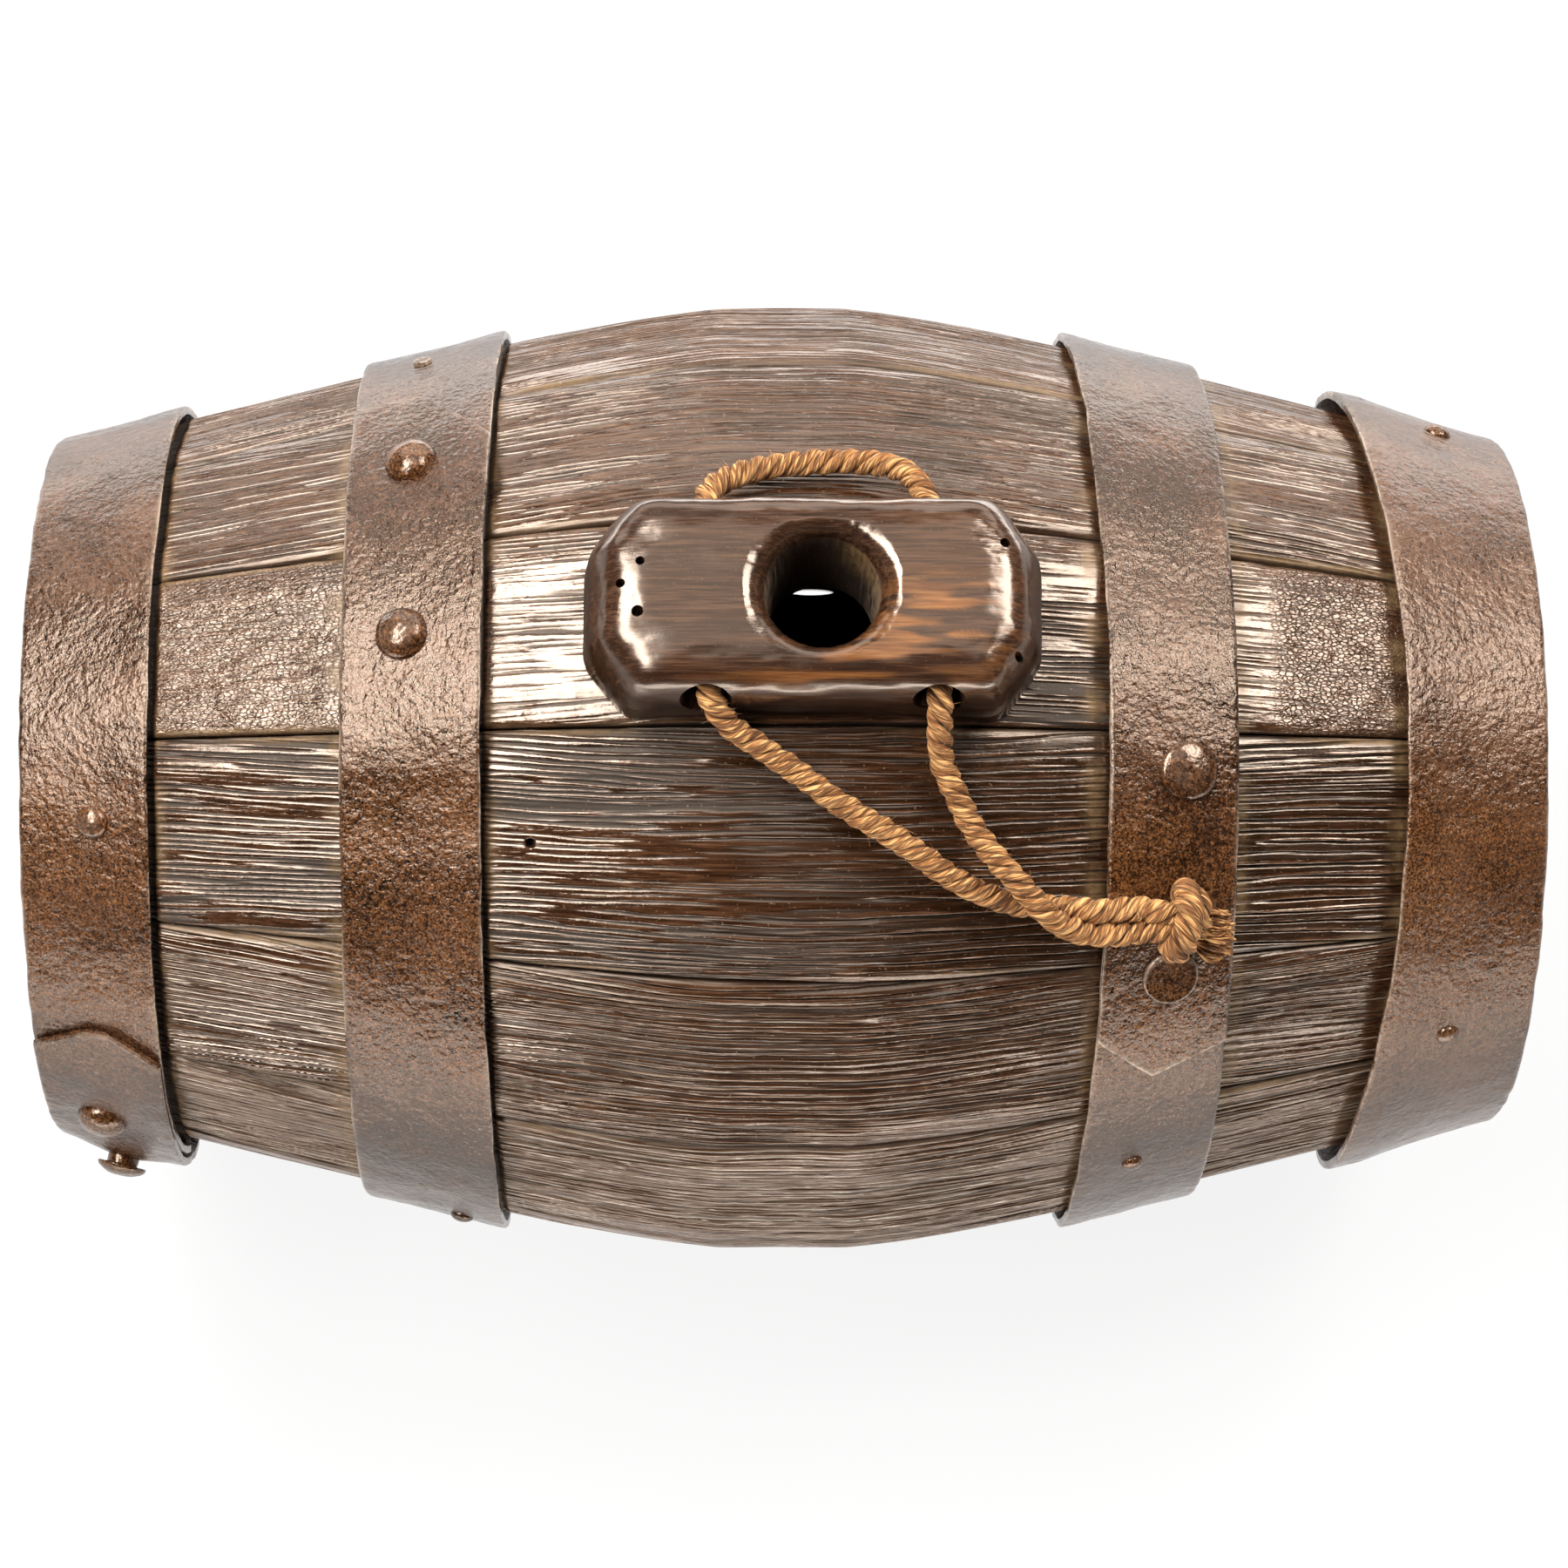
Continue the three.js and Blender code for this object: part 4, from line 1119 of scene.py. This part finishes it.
def block_form(seed):
    length, width = BLOCK_SIZE[0] / 2, BLOCK_SIZE[1] / 2
    cut_x, cut_y = BLOCK_CORNER
    quarter = np.array([(length, width - cut_y), (length - cut_x, width)])
    next_quarter = quarter[::-1] * (-1, 1)
    corners = np.concatenate([quarter, next_quarter, -quarter, -next_quarter, quarter[:1]])
    outline = evened(corners, BLOCK_SIDES + 1)[:-1]
    outline = softened(outline, BLOCK_SOFTNESS, True) / (length, width)
    levels = softened(evened(np.array(BLOCK_RINGS, float), BLOCK_LEVELS), BLOCK_SOFTNESS, False)
    height, long, wide = levels.T[:, :, None] * MM
    x = BLOCK_CENTRE + outline[None, :, 0] * long / 2
    y = outline[None, :, 1] * wide / 2
    wear = 0.5 * MM * fractal(seed, x / (16 * MM), y / (11 * MM), height / (9 * MM))
    wear = wear + 0.20 * MM * fractal(seed + 9, x / (6 * MM), y / (3 * MM), height / (3 * MM))
    swell = 1 + wear / (np.hypot(x - BLOCK_CENTRE, y) + 8 * MM)
    places = (BLOCK_CENTRE + (x - BLOCK_CENTRE) * swell, y * swell, AXIS_HEIGHT + height + wear * 0.6)
    return loft(np.stack(np.broadcast_arrays(*places), -1))


def turned_form(profile, sides, place, axis, seed, scratches=0.0):
    """A solid of revolution: profile rows are radius and height along the axis, in millimetres."""
    radius, height = evened(np.array(profile, float), PROFILE_STEPS).T[:, :, None] * MM
    turn = circle(sides)[None]
    uneven = fractal(seed, 1.6 * np.cos(turn), 1.6 * np.sin(turn), height / (6 * MM))
    radius = radius * (1 + 0.012 * uneven)
    radius = radius + scratches * noise(seed + 3, turn / (2 * np.pi) * 90, height / (5 * MM))
    across, up = radius * np.cos(turn), radius * np.sin(turn)
    flat = np.broadcast_to(height, across.shape)
    columns = (across, flat, up) if axis == "Y" else (across, up, flat)
    return loft(np.stack(columns, -1) + place)


def combined(mesh, steps):
    """A mesh joined with or cut by closed forms, one after the other."""
    holder = link(bpy.data.objects.new("holder", mesh))
    for form, operation in steps:
        tool = link(bpy.data.objects.new("tool", make_mesh("tool", form)))
        modifier = holder.modifiers.new("shape", "BOOLEAN")
        modifier.operation = operation
        modifier.solver = "MANIFOLD"
        modifier.object = tool
        bpy.context.view_layer.update()
        evaluated = holder.evaluated_get(bpy.context.evaluated_depsgraph_get())
        mesh = bpy.data.meshes.new_from_object(evaluated)
        holder.modifiers.clear()
        holder.data = mesh
        bpy.data.objects.remove(tool)
    bpy.data.objects.remove(holder)
    return mesh


def with_block(stave, seed):
    """The bung stave's mesh with its block, bung hole, rope holes and worm holes."""
    bung = turned_form(BUNG_PROFILE, BUNG_SIDES, (BUNG_CENTRE, 0, AXIS_HEIGHT), "Z", seed + 6, BUNG_SCRATCHES)
    steps = [(block_form(seed + 5), "UNION"), (bung, "DIFFERENCE")]
    for x in ROPE_HOLES:
        place = (x * MM, 0, AXIS_HEIGHT + ROPE_HOLE_HEIGHT * MM)
        steps.append((turned_form(ROPE_HOLE_PROFILE, ROPE_HOLE_SIDES, place, "Y", seed + 7), "DIFFERENCE"))
    floor = AXIS_HEIGHT + BLOCK_RINGS[-1][0] * MM - WORM_DEPTH
    worms = []
    for x, y, radius in WORM_HOLES:
        profile = ((radius, 0), (radius, WORM_LENGTH))
        worms.append((turned_form(profile, WORM_SIDES, (x * MM, y * MM, floor), "Z", seed + 8), {}))
    steps.append((joined(worms)[0], "DIFFERENCE"))
    mesh = combined(stave, steps)
    for name in [a.name for a in mesh.attributes if a.name in ("grain", *BARE_WOOD)]:
        mesh.attributes.remove(mesh.attributes[name])
    for layer in list(mesh.uv_layers):
        mesh.uv_layers.remove(layer)
    set_values(mesh, block_values(mesh, seed))
    mesh.shade_smooth()
    mesh.set_sharp_from_angle(angle=np.radians(SHARP_ANGLE))
    return mesh


def block_values(mesh, seed):
    """The bung stave's values: grain on the stave, polish on the block, and painted shade in the bung hole
    and inside.
    """
    points = np.empty(len(mesh.vertices) * 3, np.float32)
    mesh.vertices.foreach_get("co", points)
    points = points.reshape(-1, 3).astype(float)
    x, radius, degrees = keg_place(points)
    y = points[:, 1]
    height = radius * np.cos(np.radians(degrees))
    across = np.radians(degrees) * stave_radius(x)
    half = np.radians(BUNG_STAVE_WIDTH / 2) * stave_radius(x)
    edge = np.maximum(half - np.abs(across), 0)
    relief, furrow, _ = wood_relief(seed, x, across, 0)
    _, furrow = bung_stave_wear(seed, x, across, relief, furrow)
    # painted shadow in the gap beside a hoop
    gap = hoop_gap_shadow(x, degrees)
    furrow = np.maximum(furrow, gap)
    crackle = 1.1 * soft_step(*SMOOTH_REACH, x) + 1.3 * soft_step(*WRINKLED_REACH, x)
    proud = radius - stave_radius(x) * np.cos(np.radians(CROWN_FLAT * BUNG_STAVE_WIDTH / 2))
    beside = np.maximum(np.abs(x - BLOCK_CENTRE) - BLOCK_SIZE[0] / 2 * MM, np.abs(y) - BLOCK_SIZE[1] / 2 * MM)
    on_block = soft_step(*BLOCK_FOOT, proud) * (beside < BLOCK_MARGIN)
    bore = (np.hypot(x - BUNG_CENTRE, y) < BORE_RADIUS) & (height < BORE_TOP)
    shaded = bore | (proud < UNDER_SKIN)
    fibrous = bell(x - BUNG_CENTRE - TORN_PLACE, TORN_SPREAD) * soft_step(*TORN_HEIGHTS, height)
    worn = sum(
        share * bell(x - spot_x * MM, long * MM) * bell(y - spot_y * MM, wide * MM)
        for spot_x, spot_y, long, wide, share in WORN_SPOTS
    )
    worn = worn * soft_step(-0.3, 0.5, streaks(seed + 70, x / (9 * MM), y / (1.1 * MM)))
    worn = worn * soft_step(*WORN_HEIGHTS, height)
    return {
        "grain": stave_grain(points, seed),
        # the bung hole and the stave's inside are painted near black, as shade, apart from the torn fibres
        "furrow": np.where(shaded, 0.95 - 0.6 * fibrous, furrow * (1 - on_block)),
        "dirt": np.where(shaded, 0.8 * fibrous, stave_dirt(seed, x, edge) * (1 - on_block) * (1 - gap)),
        # the block's sides are painted darker than its top, as shade
        "tone": STAVE_TONES["bung_stave"] - 1.4 * on_block * soft_step(*SHADED_SIDES, height),
        "polish": np.where(bore, 0, on_block),
        "worn": np.clip(worn * on_block, 0, 1),
        "crackle": crackle * (1 - on_block),
    }


# Hoops: edges along X, angle of the outer strap's point, the way that it runs on and its lap. A tip's rows
# are places across the strap, from -1 to 1, and how far back of the point the end lies there, in degrees.
# Each edge stands off the staves, and bows along X by so much a quarter turn from BOW_ANGLE, in millimetres.
HOOP_SEED = 2000
HOOP_THICKNESS = 1.8 * MM
LAP_GAP = 0.45 * MM
JOGGLE = 14                     # lengths along a strap are in degrees round the keg
INNER_END = 3
TIP_FADE = 24
HOOP_STEP = 0.42
HOOP_ACROSS = 56
HOOP_INSIDE = 8
HOOP_SHARP_ANGLE = 45
# bright_tip is how strongly the outline of a strap's tip is painted pale, as a highlight
HOOPS = {
    "left_end": dict(
        edges=(-149.9, -124), point=60, run=1, lap=52, tip=((-1, 5), (-0.2, 0.2), (0.25, 0), (1, 4.5)),
        stand_off=(0.2, 0.9), bow=(0, 0), bright_tip=0.3, pale=0.035,
    ),
    "left_quarter": dict(
        edges=(-86, -58.7), point=-38, run=1, lap=50, tip=((-1, 1), (-0.05, 1), (1, 11.5)),
        stand_off=(0.3, 0.7), bow=(0, 1.5), bright_tip=0.3, pale=0.0,
    ),
    "right_quarter": dict(
        edges=(61.7, 87), point=57.5, run=-1, lap=52, tip=((-1, 6.5), (-0.1, 0), (1, 4.1)),
        stand_off=(0.7, 0.3), bow=(-3.6, -1.4), bright_tip=1.8, pale=0.0,
    ),
    "right_end": dict(
        edges=(121, 149.9), point=-104, run=-1, lap=50, tip=((-1, 5), (0, 0), (1, 5)),
        stand_off=(2.0, 0.2), bow=(-6.5, -1.0), bright_tip=0.6, pale=0.06,
    ),
}
BOW_ANGLE = 13                  # angle at which the hoops' edges lie furthest out
RAGGED = 0.35 * MM
RAGGED_MOST = 0.1 * MM          # how far the ragged edges may reach past the plain ones
DENTS = (0.32 * MM, 17 * MM)    # height and size
HAMMERING = (0.12 * MM, 5 * MM)
PITS = (0.065 * MM, 1.15 * MM)
HOOP_ROUND = (0.45 * MM, 0.28 * MM)
# widths of the pale bands along a strap's edges and tip: worn metal, and a painted highlight
BRIGHT_EDGE = 0.25 * MM
BRIGHT_TIP = 0.5 * MM
RUST_INSIDE = 0.7
# Rivets and nails: place along X, angle, head radius, head height, and how far the strap bulges under it
RIVETS = {
    "left_end": ((-138.5, 84, 5.2, 3.4, -0.7), (-137, 102, 5.2, 3.8, 2.2)),
    "left_quarter": ((-73.5, -24, 5.2, 3.6, -0.3), (-74, 1, 5.2, 3.6, -0.3)),
    "right_quarter": ((74.3, 43.2, 5.6, 0.9, -0.4), (77, 17.6, 5.8, 1.9, 0.6)),
    "right_end": ((135.5, -116, 5.2, 3.2, 0), (135.5, -140, 5.2, 3.2, 0)),
}
NAILS = {
    "left_end": ((-135, 25, 3.3, 2.1, 0),),
    "left_quarter": ((-66, 97, 2.4, 1.3, 0), (-73.5, -52, 1.9, 0.9, 0)),
    "right_quarter": ((70, 76.4, 2.1, 1.2, 0),),
    "right_end": ((132, 60.3, 2.4, 1.4, 0), (135, -52.4, 2.8, 1.6, 0)),
}
BULGE_REACH = 8.5 * MM
NECK_BULGE = 2                  # heads on a higher bulge stand on a neck
NECK = 1.5
NECK_WIDTH = 0.62               # in head radii
FLAT_HEAD = 1.2                 # heads lower than this are flat on top
FLAT_PROFILE = ((1, 0.6), (0.93, 1), (0.8, 0.9))     # in head radii and heights
HEAD_TIP = 0.05                 # radius that a flat head's top closes to
FULL_HEAD = 3.4                 # height of a head that is dented in full
HEAD_ROOT = -1.2                # where a head starts, under the strap's face
DOME_ANGLES = np.radians(np.linspace(0, 89, 10))
HEAD_STEPS = 40
HEAD_SIDES = 48
HEAD_RUST = 0.95


def angle_between(first, second):
    return (first - second + 180) % 360 - 180


def hoop_base(name, x, degrees, travelled):
    """Radius of a strap's inner face, without its dents."""
    hoop = HOOPS[name]
    level = 1 - soft_step(hoop["lap"], hoop["lap"] + JOGGLE, travelled)
    low, high = np.array(hoop["edges"]) * MM
    share = np.clip((x - low) / (high - low), 0, 1)
    off_low, off_high = np.array(hoop["stand_off"]) * MM
    off = off_low * (1 - share) ** 2 + off_high * share**2
    radius = stave_radius(x) + FIT_GAP + off + level * (HOOP_THICKNESS + LAP_GAP)
    for rivet_x, rivet_angle, _, _, bulge in RIVETS[name]:
        distance = np.hypot(x - rivet_x * MM, np.radians(angle_between(degrees, rivet_angle)) * radius)
        radius = radius + bulge * MM * bell(distance, BULGE_REACH) * level
    return radius


def hoop_rust(seed, degrees, x):
    """Rust over the front, where the photo shows it, and in patches at the back, from 0 to 1."""
    turn, place = np.radians(degrees), angle_between(degrees, 0)
    front = soft_step(5, 28, place) * soft_step(68, 52, place)
    patches = 0.35 + 0.7 * fractal(seed + 8, 2.5 * np.cos(turn), 2.5 * np.sin(turn), x / (22 * MM))
    return np.clip(np.maximum(front, patches - 0.9 * soft_step(140, 60, np.abs(place))), 0, 1)


def hoop_form(name, seed):
    hoop = HOOPS[name]
    total = 360 + hoop["lap"] - INNER_END
    travel = np.linspace(0, total, round(total / HOOP_STEP))[:, None]
    even = np.linspace(-1, 1, HOOP_ACROSS)[None]
    across = (np.sin(even * np.pi / 2) + even) / 2
    back = np.interp(across, *zip(*hoop["tip"]))
    travelled = travel + back * (1 - soft_step(0, TIP_FADE, travel))
    degrees = hoop["point"] + hoop["run"] * travelled
    turn = np.radians(degrees)
    low, high = np.array(hoop["edges"]) * MM
    bow_low, bow_high = np.array(hoop["bow"]) * MM
    lean = np.sin(np.radians(degrees - BOW_ANGLE)) ** 2
    ragged = [RAGGED * fractal(seed + side, 9 * np.cos(turn), 9 * np.sin(turn)) for side in (0, 40)]
    left = low + bow_low * lean + np.maximum(ragged[0], -RAGGED_MOST)
    right = high + bow_high * lean + np.minimum(ragged[1], RAGGED_MOST)
    x = left + (right - left) * (across + 1) / 2
    base = hoop_base(name, x, degrees, travelled)
    ring = np.cos(turn) * BILGE_RADIUS, np.sin(turn) * BILGE_RADIUS, x
    dents = DENTS[0] * fractal(seed + 3, *(p / DENTS[1] for p in ring))
    hammered = HAMMERING[0] * noise(seed + 4, *(p / HAMMERING[1] for p in ring))
    pits = PITS[0] * noise(seed + 5, *(p / PITS[1] for p in ring))
    border = (1 - np.abs(across)) * (right - left) / 2
    pick = np.linspace(HOOP_ACROSS - 1, 0, HOOP_INSIDE).round().astype(int)
    face = base + HOOP_THICKNESS + dents + hammered + pits
    outside = around(x, face - rounded(border, HOOP_ROUND), degrees)
    lining = around(x, base + dents, degrees)
    inside = lining[:, pick]
    halfway = (outside + lining) / 2
    ends = np.concatenate([halfway, halfway[:, pick]], 1)
    rings = np.concatenate([ends[:1], np.concatenate([outside, inside], 1), ends[-1:]])
    # a strap's edges and the outline of its tip are painted pale: worn bare metal, and a painted highlight
    # along the lip
    tip_edge = fade(travel * np.radians(1) * BILGE_RADIUS, BRIGHT_TIP)
    bright = fade(border, BRIGHT_EDGE) + hoop["bright_tip"] * tip_edge
    bare = np.zeros(inside.shape[:2])
    columns = {
        "edge": np.concatenate([bright, bare], 1),
        "rusty": np.concatenate([hoop_rust(seed, degrees, x), bare + RUST_INSIDE], 1),
        "pale": np.full((len(travel), HOOP_ACROSS + HOOP_INSIDE), hoop["pale"]),
    }
    values = {key: np.pad(column, ((1, 1), (0, 0)), mode="edge").ravel() for key, column in columns.items()}
    return loft(rings), values


def seat_radius(name, x, degrees, layers):
    """Radius of a hoop's outer face at a fastener."""
    hoop = HOOPS[name]
    travelled = (hoop["run"] * (degrees - hoop["point"])) % 360
    if layers == 1 and travelled < hoop["lap"]:
        travelled += 360
    return float(hoop_base(name, np.array(x), degrees, travelled)) + HOOP_THICKNESS


def head_profile(radius, height, neck):
    """Rows of radius and height, from under the strap's face to the top of a head."""
    rows = [(0.96 * radius, HEAD_ROOT)]
    if neck:
        rows = [(NECK_WIDTH * radius, HEAD_ROOT), (NECK_WIDTH * radius, neck)]
    if height < FLAT_HEAD:
        rows += [(radius * share, height * rise) for share, rise in FLAT_PROFILE]
        rows.append((HEAD_TIP, 0.8 * height))
    else:
        rows += [(radius * np.cos(a), neck + (height - neck) * np.sin(a)) for a in DOME_ANGLES]
    return softened(evened(np.array(rows, float), HEAD_STEPS), 1, False)


def head_form(place, degrees, base, radius, height, seed, neck=0.0):
    """A hammered fastener head standing on a strap, mushroomed over a neck where it has one."""
    reach, rise = head_profile(radius, height, neck).T[:, :, None] * MM
    turn = circle(HEAD_SIDES)[None]
    lumps = 0.055 * fractal(seed, 1.5 * np.cos(turn), 1.5 * np.sin(turn), rise / (2.5 * MM))
    spots = (reach * np.cos(turn) / (2.4 * MM), reach * np.sin(turn) / (2.4 * MM))
    dents = 0.16 * MM * fractal(seed + 3, *spots)
    reach = reach * (1 + lumps)
    rise = rise + np.where(rise > 0, dents * height / FULL_HEAD, 0)
    slope = np.arctan(TAPER * place / np.hypot(place, KNEE))
    along, sideways = reach * np.cos(turn), reach * np.sin(turn)
    x = place + along * np.cos(slope) + rise * np.sin(slope)
    out = base + rise * np.cos(slope) - along * np.sin(slope)
    rings = around(x, np.hypot(out, sideways), degrees + np.degrees(np.arctan2(sideways, out)))
    worn = 0.12 * soft_step(0.5 * height * MM, height * MM, rise)
    # a flat head's rim is painted pale all round, as a highlight along its edge
    if height < FLAT_HEAD:
        worn = bell(reach - 0.96 * radius * MM, 0.3 * MM)
    same = np.ones(worn.size)
    return loft(rings), {"edge": worn.ravel(), "rusty": HEAD_RUST * same, "smooth": same}


def add_hoops():
    for k, name in enumerate(HOOPS):
        seed = HOOP_SEED + SEED_STEP * k
        mesh = make_mesh(name, *hoop_form(name, seed))
        mesh.set_sharp_from_angle(angle=np.radians(HOOP_SHARP_ANGLE))
        dress(f"hoop_{name}", "forged", mesh, HOOP_IRON)
        for kind, rows, layers in (("rivet", RIVETS[name], 2), ("nail", NAILS[name], 1)):
            for number, (x, degrees, radius, height, bulge) in enumerate(rows, 1):
                base = seat_radius(name, x * MM, degrees, layers)
                neck = NECK if bulge > NECK_BULGE else 0.0
                node = f"{kind}_{name}_{number}"
                head = head_form(x * MM, degrees, base, radius, height, seed + 10 * number, neck)
                dress(node, "forged", make_mesh(node, *head), RIVET_IRON)


# Heads: two boards each, with their grain along the joint
HEAD_SEED = 4000
HEAD_THICKNESS = 8 * MM
HEAD_RADIUS = 62.9 * MM
HEAD_TONGUE = 3 * MM
HEAD_BEVEL = 11 * MM
HEADS = {"head_left": (-CROZE_CENTRE, 12), "head_right": (CROZE_CENTRE, -20)}     # place along X and turn
BOARD_ROWS = 170
BOARD_POINTS = 60
BOARD_REACH = 0.9995            # of the radius, so that the last row still has a width
BOARD_GRAIN_DEPTH = 0.3 * MM
JOINT_ROUND = (0.5 * MM, 0.6 * MM)
JOINT_DIRT = (0.6, 1.5 * MM)


def board_form(side, centre, turn, seed):
    """Half of a head: rows across its grain, from the joint to the rim."""
    across = np.linspace(SEAM_GAP / 2, HEAD_RADIUS * BOARD_REACH, BOARD_ROWS)[:, None]
    along = np.sqrt(HEAD_RADIUS**2 - across**2) * np.linspace(-1, 1, BOARD_POINTS)[None]
    rim = np.clip((HEAD_RADIUS - np.hypot(across, along)) / HEAD_BEVEL, 0, 1)
    half = (HEAD_TONGUE + (HEAD_THICKNESS - HEAD_TONGUE) * rim) / 2
    relief, furrow, _ = wood_relief(seed, along, across, BOARD_GRAIN_DEPTH)
    from_joint = across - SEAM_GAP / 2
    face = half - (np.maximum(relief, 0) + rounded(from_joint, JOINT_ROUND)) * soft_step(0, 0.3, rim)
    out = np.sign(centre)
    outside, inside = (
        np.stack(np.broadcast_arrays(sign * out * face, side * across, along), -1) for sign in (1, -1)
    )
    rings = np.concatenate([outside, inside[:, ::-1]], 1)
    spin = np.radians(turn)
    y, z = rings[..., 1].copy(), rings[..., 2].copy()
    rings[..., 0] += centre
    rings[..., 1] = y * np.cos(spin) - z * np.sin(spin)
    rings[..., 2] = y * np.sin(spin) + z * np.cos(spin) + AXIS_HEIGHT

    def on_both(value):
        value = np.broadcast_to(value, along.shape)
        return np.concatenate([value, value[:, ::-1]], 1).ravel()

    grain = np.stack([on_both(along) + seed, on_both(across), on_both(half)], -1)
    dirt = on_both(rounded(from_joint, JOINT_DIRT))
    return loft(rings), {"grain": grain, "furrow": on_both(furrow), "dirt": dirt}


def add_heads():
    for k, (head, (centre, turn)) in enumerate(HEADS.items()):
        for name, side in (("front", -1), ("back", 1)):
            node = f"{head}_board_{name}"
            board = board_form(side, centre, turn, HEAD_SEED + SEED_STEP * k + 30 * side)
            dress(node, "weathered", make_mesh(node, *board), HEAD_WOOD)
        for level in ("lower", "upper"):
            dowel = frame["nodes"][f"{head}_dowel_{level}"]
            dowel.data.materials.clear()
            dowel.data.materials.append(DOWEL_WOOD)


# Stage: a pale floor, soft boxes to both sides of the camera and pale surroundings that darken overhead
FLOOR_SIZE = 8.0
FLOOR_TONE = (0.86, 0.86, 0.86)
FLOOR_FLECKS = (0.8, 0.8, 0.8)
FLOOR_GLOW = 0.88               # how white the floor is in the picture and in reflections
SOFT_BOXES = (
    # name, place, point it faces, width and height in the picture, power
    ("left_box", (-0.52, 0.10, 1.12), KEG_CENTRE, (0.32, 1.0), 22),
    ("right_box", (0.63, 0.36, 1.0), KEG_CENTRE, (0.34, 0.6), 12),
    ("top_box", (0, 0.40, 1.24), KEG_CENTRE, (0.9, 0.9), 3.5),
    ("back_box", (0, 1.05, 0.58), KEG_CENTRE, (1.8, 0.5), 7),
    ("back_card", (0, 0.52, 0.006), (0, 0.45, 1), (1.5, 0.5), 12),
    ("front_card", (0, -0.64, 0.006), (0, -0.55, 1), (1.5, 0.6), 27),
)
LAMP_TONE = (1.0, 0.97, 0.94)
SKY_TONES = ((0.05, (0.15, 0.136, 0.122)), (0.55, (0.02, 0.018, 0.016)))      # from the horizon up


def add_floor():
    half = FLOOR_SIZE / 2
    corners = np.array([(-half, -half, 0), (half, -half, 0), (half, half, 0), (-half, half, 0)], float)
    material, graph = new_material("floor_paper")
    paper = graph.span(graph.cloud(graph.value("Object", "TexCoord"), 300, 2), 0.4, 0.6, 0.0, 0.04)
    surface = graph.surface({"Base Color": graph.mix(paper, FLOOR_TONE, FLOOR_FLECKS), "Roughness": 0.9})
    path = graph.node("LightPath")
    rays = (Value(graph, path.outputs[f"Is {kind} Ray"]) for kind in ("Camera", "Glossy", "Transmission"))
    seen = next(rays)
    for ray in rays:
        seen = graph.math("MAXIMUM", seen, ray)
    glow = graph.node("Emission", {"Color": (1, 1, 1, 1), "Strength": 1.0})
    shaders = {1: Value(graph, surface.outputs[0]), 2: Value(graph, glow.outputs[0])}
    blend = graph.value(0, "MixShader", {0: FLOOR_GLOW * seen, **shaders})
    graph.feed(graph.tree.nodes["Material Output"], {"Surface": blend})
    floor = add_object("floor", make_mesh("floor", (corners, [np.array([[0, 1, 2, 3]])], None)), material)


def add_light(name, place, target, size, power):
    data = bpy.data.lights.new(name, "AREA")
    data.shape = "RECTANGLE"
    data.size, data.size_y = size
    data.energy = power
    data.color = LAMP_TONE
    face_from(link(bpy.data.objects.new(name, data)), place, target)


def add_world():
    world = bpy.data.worlds.new("studio")
    bpy.context.scene.world = world
    world.use_nodes = True
    graph = Graph(world.node_tree)
    height = graph.value("Z", "SeparateXYZ", {0: graph.value("Generated", "TexCoord")})
    graph.feed(graph.tree.nodes["Background"], {"Color": graph.ramp(height, SKY_TONES)})


bpy.context.scene.view_settings.view_transform = "Standard"
add_camera()
add_ropes()
add_staves()
add_hoops()
add_heads()
add_floor()
for soft_box in SOFT_BOXES:
    add_light(*soft_box)
add_world()
